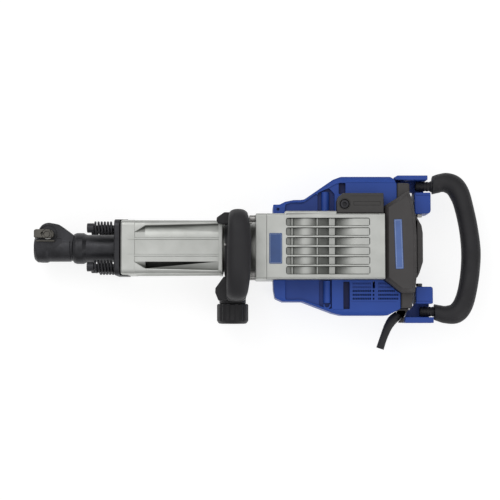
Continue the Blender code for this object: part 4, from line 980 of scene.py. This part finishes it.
def switch_cap():
    """The bulging cap behind the rear cover, with the rocker in its well."""
    low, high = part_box("switch_cap")
    outline = rounded([(low.x, low.y), (0.2685, -0.0505), (0.2722, -0.0430), (high.x, -0.0240),
                       (high.x, 0.0240),
                       (0.2763, 0.0368), (0.2665, 0.0546), (low.x, high.y)],
                      [0, 0.004, 0.006, 0.008, 0.01, 0.01, 0.004, 0])
    body = slab(outline, low.z, high.z, top=0.0035, bottom=0.0035, steps=5)
    mouth = rectangle(-0.0145, AXIS_Z - 0.0105, 0.0145, AXIS_Z + 0.0105, 0.001)
    well = slab(mouth, high.x - 0.0075, high.x + 0.01, axis="X")
    low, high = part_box("rocker_switch")
    hinge, half = (low.x + 0.003, 0, 0), 0.0123
    pivot = cylinder(hinge, 0.0016, AXIS_Z - 0.0135, AXIS_Z + 0.0135, "Z", 16)
    piece("switch_cap_body", cut(body, well, pivot), GREY, "switch_cap")
    face = [(low.x + 0.002, -half), (high.x, -half), (high.x - 0.002, 0.0), (high.x, half),
            (low.x + 0.002, half), (low.x, 0.0)]
    rocker = slab(rounded(face, [0.001, 0.0012, 0.02, 0.0012, 0.001, 0.001]), AXIS_Z - 0.0093,
                  AXIS_Z + 0.0093, top=0.0008, bottom=0.0008)
    trunnions = cylinder(hinge, 0.0012, low.z, high.z, "Z", 16)
    piece("rocker_switch_body", join(rocker, trunnions), BLACK, "rocker_switch")


def nameplates():
    """Plain plates with a thin pale border and no lettering."""
    for node, mat, half_x, half_y, tilt in (("case_nameplate", PLATE, 0.0106, 0.0253, 0.0),
                                            ("cover_nameplate", COVER_PLATE, 0.00645, 0.0412, 1.8)):
        low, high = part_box(node)
        middle = (low + high) / 2
        turn = Matrix.Translation((middle.x, middle.y, 0)) @ Matrix.Rotation(math.radians(tilt), 4, "Z")
        plate = slab(rectangle(-half_x, -half_y, half_x, half_y, 0.0014), low.z, high.z, top=0.0003)
        plate.transform(turn)
        piece(f"{node}_body", plate, mat, node)
        margin = 0.0014
        outer = rectangle(-half_x + margin, -half_y + margin, half_x - margin, half_y - margin, 0.0010)
        border = cut(slab(outer, high.z - 0.0003, high.z + 0.00004),
                     slab(offset(outer, 0.00035), high.z - 0.001, high.z + 0.001))
        border.transform(turn)
        detail(f"{node}_border", border, PALE, node)


GUARD_ROUTE = [(0.2398, -0.1118, 0.0070), (0.2355, -0.1160, 0.0080), (0.2286, -0.1224, 0.0083),
               (0.2215, -0.1335, 0.0073), (0.2139, -0.1520, 0.0064), (0.2080, -0.1697, 0.0066)]
GUARD_ENDS = ((-0.55, -0.835, 0), (-0.316, -0.949, 0))


def cord_exit():
    """The cord's way out, with a fin beside its bend protector, whose first stretch is ribbed."""
    low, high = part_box("cord_gland")
    outline = rounded([(0.2403, high.y), (high.x, high.y), (0.2512, -0.1096), (0.2467, -0.1192),
                       (0.2460, low.y),
                       (0.2390, low.y), (0.2443, -0.1190), (0.2494, -0.1115), (0.2490, -0.1068),
                       (0.2350, -0.1068),
                       (0.2356, -0.1050)],
                      [0.0005, 0.001, 0.003, 0.003, 0.001, 0.001, 0.003, 0.002, 0.001, 0.0008, 0.001])
    body = slab(outline, low.z, high.z, top=0.0012, bottom=0.0012)
    bore = cylinder((0.2425, 0, AXIS_Z), 0.0042, -0.108, -0.09, "Y", 24)
    piece("cord_gland_body", cut(body, bore), GREY, "cord_gland")
    path = smooth_path([(x, y, AXIS_Z, r) for x, y, r in GUARD_ROUTE], 8)
    ridges, groove = [], 0.025
    for i, (x, y, z, r) in enumerate(path):
        wave = 1.0 - groove if i % 4 == 2 and i < len(path) * 0.8 else 1.0
        ridges.append((x, y, z, r * wave, r * wave))
    guard = sweep(ridges, (0, 0, 1), 28, 0.0042, ends=GUARD_ENDS)
    piece("cord_guard_body", guard, RUBBER, "cord_guard", sharp=50)


# ---- rear handle --------------------------------------------------------------------------
def handle_brackets():
    """Channels that are open at the front: an outer plate, an inner block and a back web."""
    shapes = {
        "handle_bracket_upper": (
            [(0.2300, 0.1180), (0.2335, 0.1145), (0.2875, 0.1145), (0.2875, 0.1220), (0.2370, 0.1220)],
            rounded([(0.2655, 0.0575), (0.2930, 0.0575), (0.2930, 0.0930), (0.2655, 0.0930)],
                    [0.003, 0.006, 0.003, 0.001]),
            [(0.2655, 0.0600), (0.2860, 0.0600), (0.2860, 0.1200), (0.2345, 0.1200), (0.2345, 0.1088),
             (0.2575, 0.1088), (0.2575, 0.0960), (0.2655, 0.0960)], (0.0888, 0.0930)),
        "handle_bracket_lower": (
            [(0.2485, -0.1265), (0.2960, -0.1265), (0.2960, -0.1168), (0.2485, -0.1168)],
            rounded([(0.2665, -0.0942), (0.2955, -0.0942), (0.2955, -0.0655), (0.2665, -0.0655)],
                    [0.001, 0.002, 0.004, 0.003]),
            [(0.2485, -0.1245), (0.2940, -0.1245), (0.2940, -0.0675), (0.2665, -0.0675), (0.2665, -0.0960),
             (0.2610, -0.1000), (0.2600, -0.1035), (0.2560, -0.1035)], (-0.0942, -0.0905))}
    for node, (plate, block, web, ledge) in shapes.items():
        low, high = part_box(node)
        body = slab(offset(web, 0.0007), low.z + 0.0020, low.z + 0.012)
        for part in (slab(rounded(plate, 0.0010), low.z, high.z, top=0.0010, bottom=0.0010),
                     slab(block, low.z + 0.0003, high.z - 0.003, top=0.0022, bottom=0.0012),
                     slab(rectangle(0.2672, ledge[0], 0.2924, ledge[1], 0.001),
                          high.z - 0.006, high.z - 0.0016, top=0.0006)):
            body = join(body, part)
        piece(f"{node}_body", body, BLUE, node)
    for node, mat in (("bracket_bolt_upper", STEEL), ("bracket_bolt_lower", BLACK_STEEL)):
        low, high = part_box(node)
        centre = ((low.x + high.x) / 2, 0, (low.z + high.z) / 2)
        bolt = cylinder(centre, 0.0053, low.y, high.y, "Y", 6, edge=0.0004)
        piece(f"{node}_body", bolt, mat, node)


def bellows():
    """Rubber sleeves with rolled folds, flared against the grip."""
    for node in ("bellows_upper", "bellows_lower"):
        low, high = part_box(node)
        centre = (0, (low.y + high.y) / 2, AXIS_Z)
        flare, crest, root, inner, folds, steps = (high.y - low.y) / 2, 0.0084, 0.0076, 0.0069, 5, 44
        outside = []
        for i in range(steps + 1):
            wave = 0.5 - 0.5 * math.cos(2 * math.pi * folds * i / steps)
            widening = max(0.0, i / steps - 0.86) / 0.14 * (flare - crest)
            along = low.x + (high.x - low.x) * i / steps
            outside.append((along, root + (crest - root) * wave ** 0.7 + widening))
        sleeve = lathe(outside + [(high.x, inner), (low.x, inner)], centre, "X", 36, ring=True)
        obj = piece(f"{node}_sleeve", sleeve, RUBBER, node, sharp=60)
        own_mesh(obj)


UPPER_STEM_Y = sum(corner.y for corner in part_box("bellows_upper")) / 2
LOWER_STEM_Y = sum(corner.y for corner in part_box("bellows_lower")) / 2
GRIP_ROUTE = [(0.2982, UPPER_STEM_Y + 0.0004, 0.0138), (0.3045, 0.1092, 0.0153), (0.3120, 0.1118, 0.0156),
              (0.3235, 0.1122, 0.0170), (0.3360, 0.1066, 0.0177), (0.3448, 0.0933, 0.0174),
              (0.3513, 0.0739, 0.0162), (0.3593, 0.0362, 0.0160), (0.3635, -0.0039, 0.0165),
              (0.3617, -0.0400, 0.0162), (0.3561, -0.0738, 0.0162), (0.3481, -0.0974, 0.0170),
              (0.3365, -0.1100, 0.0172), (0.3200, -0.1122, 0.0150), (0.3080, -0.1098, 0.0137),
              (0.3003, LOWER_STEM_Y - 0.0004, 0.0130)]


def rear_handle():
    """The rubber grip over a bent steel core, whose ends slide in the brackets."""
    path = smooth_path([(x, y, AXIS_Z, r, r) for x, y, r in GRIP_ROUTE], 6)
    grip = sweep(path, (0, 0, 1), 40, 0.0075, ends=((1, 0, 0), (-1, 0, 0)))
    for vert in grip.verts:
        vert.co.x = max(vert.co.x, GRIP_ROUTE[0 if vert.co.y > 0 else -1][0])
    piece("rear_grip_body", grip, RUBBER, "rear_grip", sharp=50)
    radius = 0.0063
    points = [(0.2715, UPPER_STEM_Y), (0.2985, UPPER_STEM_Y)] + [(x, y) for x, y, r in GRIP_ROUTE[1:-1]]
    points += [(0.3005, LOWER_STEM_Y), (0.2775, LOWER_STEM_Y)]
    path = [(x, y, AXIS_Z, radius, radius) for x, y in points]
    core = sweep(path, (0, 0, 1), 20, ends=((1, 0, 0), (-1, 0, 0)))
    piece("handle_core_body", core, STEEL, "handle_core", sharp=50)


# ---- side handle --------------------------------------------------------------------------
KNOB_LOW, KNOB_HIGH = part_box("side_knob")
KNOB_X = (KNOB_LOW.x + KNOB_HIGH.x) / 2
BAND_LOW, BAND_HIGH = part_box("side_clamp_band")


def side_handle():
    """A clamp band round the neck, and a frame of two legs with the knob's boss below and a grip above."""
    band = tube(at(0, 0, 0), 0.0403, 0.0452, BAND_LOW.x, BAND_HIGH.x, steps=72, edge=0.0006)
    piece("side_clamp_band_body", band, STEEL, "side_clamp_band")
    top = 0.0835
    upper = [(-0.0305, 0.0400, 0.000, 0.0070, 0.0130), (-0.0305, 0.0490, 0.022, 0.0075, 0.0135),
             (-0.0305, 0.0505, 0.050, 0.0075, 0.0150), (-0.0310, 0.0500, top, 0.0080, 0.0155)]
    lower = [(-0.0360, -0.0790, 0.000, 0.0130, 0.0165), (-0.0350, -0.0800, 0.040, 0.0115, 0.0165),
             (-0.0340, -0.0795, top, 0.0112, 0.0165)]

    def leg(points):
        path = smooth_path([(x, y, AXIS_Z + z, t, w) for x, y, z, t, w in points], 6)
        return sweep(path, (1, 0, 0), 32, power=3, ends=((0, 0, 1), (0, 0, 1)))

    boss = cylinder((KNOB_X, 0, AXIS_Z), 0.0225, KNOB_HIGH.y + 0.0003, -0.066, "Y", 48, edge=0.0015)
    saddle = slab(rectangle(BAND_LOW.x + 0.001, -0.070, BAND_HIGH.x - 0.001, -0.040, 0.002),
                  AXIS_Z - 0.018, AXIS_Z + 0.018, top=0.002, bottom=0.002)
    upper_lug = slab(rounded([(-0.0340, 0.0361), (-0.0340, 0.0560), (-0.0545, 0.0560), (-0.0668, 0.0475),
                              (-0.0675, 0.0425), (-0.0651, 0.0377), (-0.0545, 0.0361)],
                             [0, 0, 0.004, 0.002, 0.002, 0.002, 0.003]),
                     AXIS_Z + 0.050, AXIS_Z + 0.070, top=0.002, bottom=0.002)
    lower_lug = slab(rounded([(-0.0553, -0.0500), (-0.0692, -0.0695), (-0.0695, -0.0768), (-0.0640, -0.0905),
                              (-0.0340, -0.0860), (-0.0340, -0.0640)], [0.001, 0.003, 0.003, 0.003, 0, 0]),
                     AXIS_Z + 0.047, AXIS_Z + 0.066, top=0.002, bottom=0.002)
    body = tube(at(0, 0, 0), 0.0440, 0.0495, BAND_LOW.x + 0.0006, BAND_HIGH.x - 0.0006, steps=72, edge=0.001)
    for part in (leg(upper), leg(lower), boss, saddle, upper_lug, lower_lug):
        body = join(body, part)
    for hole in (cylinder((KNOB_X, 0, AXIS_Z), 0.0063, -0.10, -0.03, "Y", 24),
                 cylinder(at(0, 0, 0), 0.0456, -0.085, 0.0, steps=80),
                 cylinder(at(0, 0, 0), 0.0620, -0.08, -0.0567, steps=60)):
        body = cut(body, hole)
    piece("side_handle_frame_body", body, BLACK, "side_handle_frame")
    nub = slab(rounded([(-0.0555, 0.0010), (-0.0515, 0.0022), (-0.0515, 0.0048), (-0.0555, 0.0058)], 0.0006),
               AXIS_Z + 0.0480, AXIS_Z + 0.0505, top=0.0006)
    detail("side_handle_stop", nub, STEEL, "side_handle_frame")

    route = [(-0.0315, 0.0500, 0.0838, 0.0082, 0.0150), (-0.0312, 0.0475, 0.0960, 0.0115, 0.0156),
             (-0.0300, 0.0350, 0.1080, 0.0150, 0.0178), (-0.0291, 0.0050, 0.1100, 0.0160, 0.0192),
             (-0.0298, -0.0250, 0.1100, 0.0160, 0.0195), (-0.0308, -0.0520, 0.1065, 0.0155, 0.0190),
             (-0.0325, -0.0720, 0.0970, 0.0135, 0.0178), (-0.0340, -0.0795, 0.0838, 0.0112, 0.0165)]
    path = smooth_path([(x, y, AXIS_Z + z, t, w) for x, y, z, t, w in route], 6)
    grip = sweep(path, (1, 0, 0), 40, power=2.4, ends=((0, 0, 1), (0, 0, -1)))
    piece("side_grip_body", grip, RUBBER, "side_grip", sharp=50)


def side_knob():
    """A knob fluted all round, with a rounded rim and a shallow dish, on the bolt of the clamp."""
    flutes, per_flute, radius, depth = 12, 12, 0.0265, 0.0011
    centre, end, root = (KNOB_X, 0, AXIS_Z), KNOB_LOW.y, KNOB_HIGH.y
    outline = []
    for i in range(flutes * per_flute):
        phase = (i % per_flute) / per_flute
        dip = 0.0
        if 0.25 < phase < 0.75:
            dip = depth * max(0.0, math.cos(2 * math.pi * (phase - 0.5))) ** 0.8
        angle = 2 * math.pi * i / (flutes * per_flute)
        outline.append((KNOB_X + (radius - dip) * math.cos(angle), AXIS_Z + (radius - dip) * math.sin(angle)))
    body = slab(outline, end + 0.0005, root, axis="Y")
    profile = [(-0.0900, 0), (-0.0900, 0.0300), (root, 0.0252), (root - 0.003, 0.0272),
               (end + 0.0070, 0.0272),
               (end + 0.0012, 0.0235), (end, 0.0150), (end, 0)]
    dome = lathe(turned(profile, [0, 0, 0.001, 0.002, 0.004, 0.004, 0.004, 0], 5), centre, "Y", 72)
    hole = cylinder(centre, 0.0062, end + 0.009, -0.05, "Y", 24)
    dish = lathe([(end - 0.01, 0), (end - 0.01, 0.0105), (end + 0.0006, 0.0105), (end + 0.0012, 0.0098),
                  (end + 0.0012, 0)], centre, "Y", 48)
    knob = cut(combine(body, [dome], "INTERSECT"), hole, dish)
    piece("side_knob_body", knob, BLACK, "side_knob", sharp=24)
    low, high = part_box("side_knob_bolt")
    bolt = cylinder(centre, 0.0058, low.y, high.y, "Y", 32, edge=0.0006)
    piece("side_knob_bolt_body", bolt, STEEL, "side_knob_bolt")


# ---- hidden mechanism ---------------------------------------------------------------------
def finish_inner_parts():
    """The mechanism inside keeps its CAD shapes and gets finished surfaces."""
    ground = steel("ground_steel", (0.46, 0.46, 0.45), (0.2, 0.34))
    copper = steel("copper_winding", (0.60, 0.27, 0.12), (0.3, 0.45), (1, 40, 1))
    carbon = moulded("carbon", (0.012, 0.012, 0.013), (0.5, 0.7), 900, 0.00008)
    chosen = {"armature": copper, "commutator": copper, "carbon_brush_upper": carbon,
              "carbon_brush_lower": carbon, "cooling_fan": GREY, "stator": BLACK_STEEL}
    for name in ("cylinder_sleeve", "impact_bolt", "striker", "piston", "gudgeon_pin", "connecting_rod",
                 "crank_pin", "crankshaft", "crank_gear", "idler_gear", "fan_side_bearing",
                 "brush_side_bearing", *chosen):
        obj = frame["nodes"][name]
        obj.data.materials.clear()
        obj.data.materials.append(chosen.get(name, ground))


# ---- studio -------------------------------------------------------------------------------
def studio():
    """A white sweep under a broad soft sky that is brightest overhead."""
    middle = (cad_low + cad_high) / 2
    floor_mat = Shader("floor", (0.30, 0.30, 0.30), 0.0, 0.9)
    floor_mat.roughness(floor_mat.between(floor_mat.noise(3, 2), 0.85, 0.95))
    floor_mat.set(Emission_Color=(1, 1, 1, 1), Emission_Strength=0.80, Specular_IOR_Level=0.0)
    floor = temporary(slab(rectangle(-6, -6, 6, 6), -0.02, -0.0005), "floor")
    floor.data.materials.append(floor_mat.mat)

    world = bpy.data.worlds.new("studio")
    bpy.context.scene.world = world
    world.use_nodes = True
    nodes, links = world.node_tree.nodes, world.node_tree.links
    background = nodes["Background"]
    background.inputs["Color"].default_value = (1, 1, 1, 1)
    coords = nodes.new("ShaderNodeTexCoord")
    split = nodes.new("ShaderNodeSeparateXYZ")
    sky = nodes.new("ShaderNodeMapRange")
    for key, value in (("From Min", 0.15), ("From Max", 1.0), ("To Min", 0.10), ("To Max", 0.95)):
        sky.inputs[key].default_value = value
    links.new(coords.outputs["Generated"], split.inputs["Vector"])
    links.new(split.outputs["Z"], sky.inputs["Value"])
    links.new(sky.outputs["Result"], background.inputs["Strength"])

    for name, place, size, power in (("key", (-0.7, 1.1, 1.6), 1.2, 9), ("side", (1.5, -1.2, 1.1), 1.0, 7)):
        light = bpy.data.lights.new(name, "AREA")
        light.shape = "SQUARE"
        light.size = size
        light.energy = power
        obj = bpy.data.objects.new(name, light)
        bpy.context.scene.collection.objects.link(obj)
        obj.location = place
        obj.rotation_euler = (middle - Vector(place)).to_track_quat("-Z", "Y").to_euler()
    bpy.context.scene.view_settings.view_transform = "Standard"


def camera():
    """Almost straight down on the tool's front, tilted a little towards the knob's side."""
    tilt, distance = math.radians(86.5), 2.3
    target = Vector((-0.012, -0.0025, AXIS_Z))
    data = bpy.data.cameras.new("camera")
    data.sensor_width = 36.0
    data.lens = 97.4
    cam = bpy.data.objects.new("camera", data)
    bpy.context.scene.collection.objects.link(cam)
    back = Vector((0, -math.cos(tilt), math.sin(tilt)))
    cam.location = target + back * distance
    cam.rotation_euler = (-back).to_track_quat("-Z", "Y").to_euler()
    bpy.context.scene.camera = cam


camera()
studio()
tool_holder()
retainer()
front_flange()
flange_bolts()
damper_springs()
barrel_housing()
case_bolts()
crankcase()
upper_shell()
lower_shell()
brush_cover()
rear_cover()
switch_cap()
nameplates()
cord_exit()
handle_brackets()
bellows()
rear_handle()
side_handle()
side_knob()
finish_inner_parts()
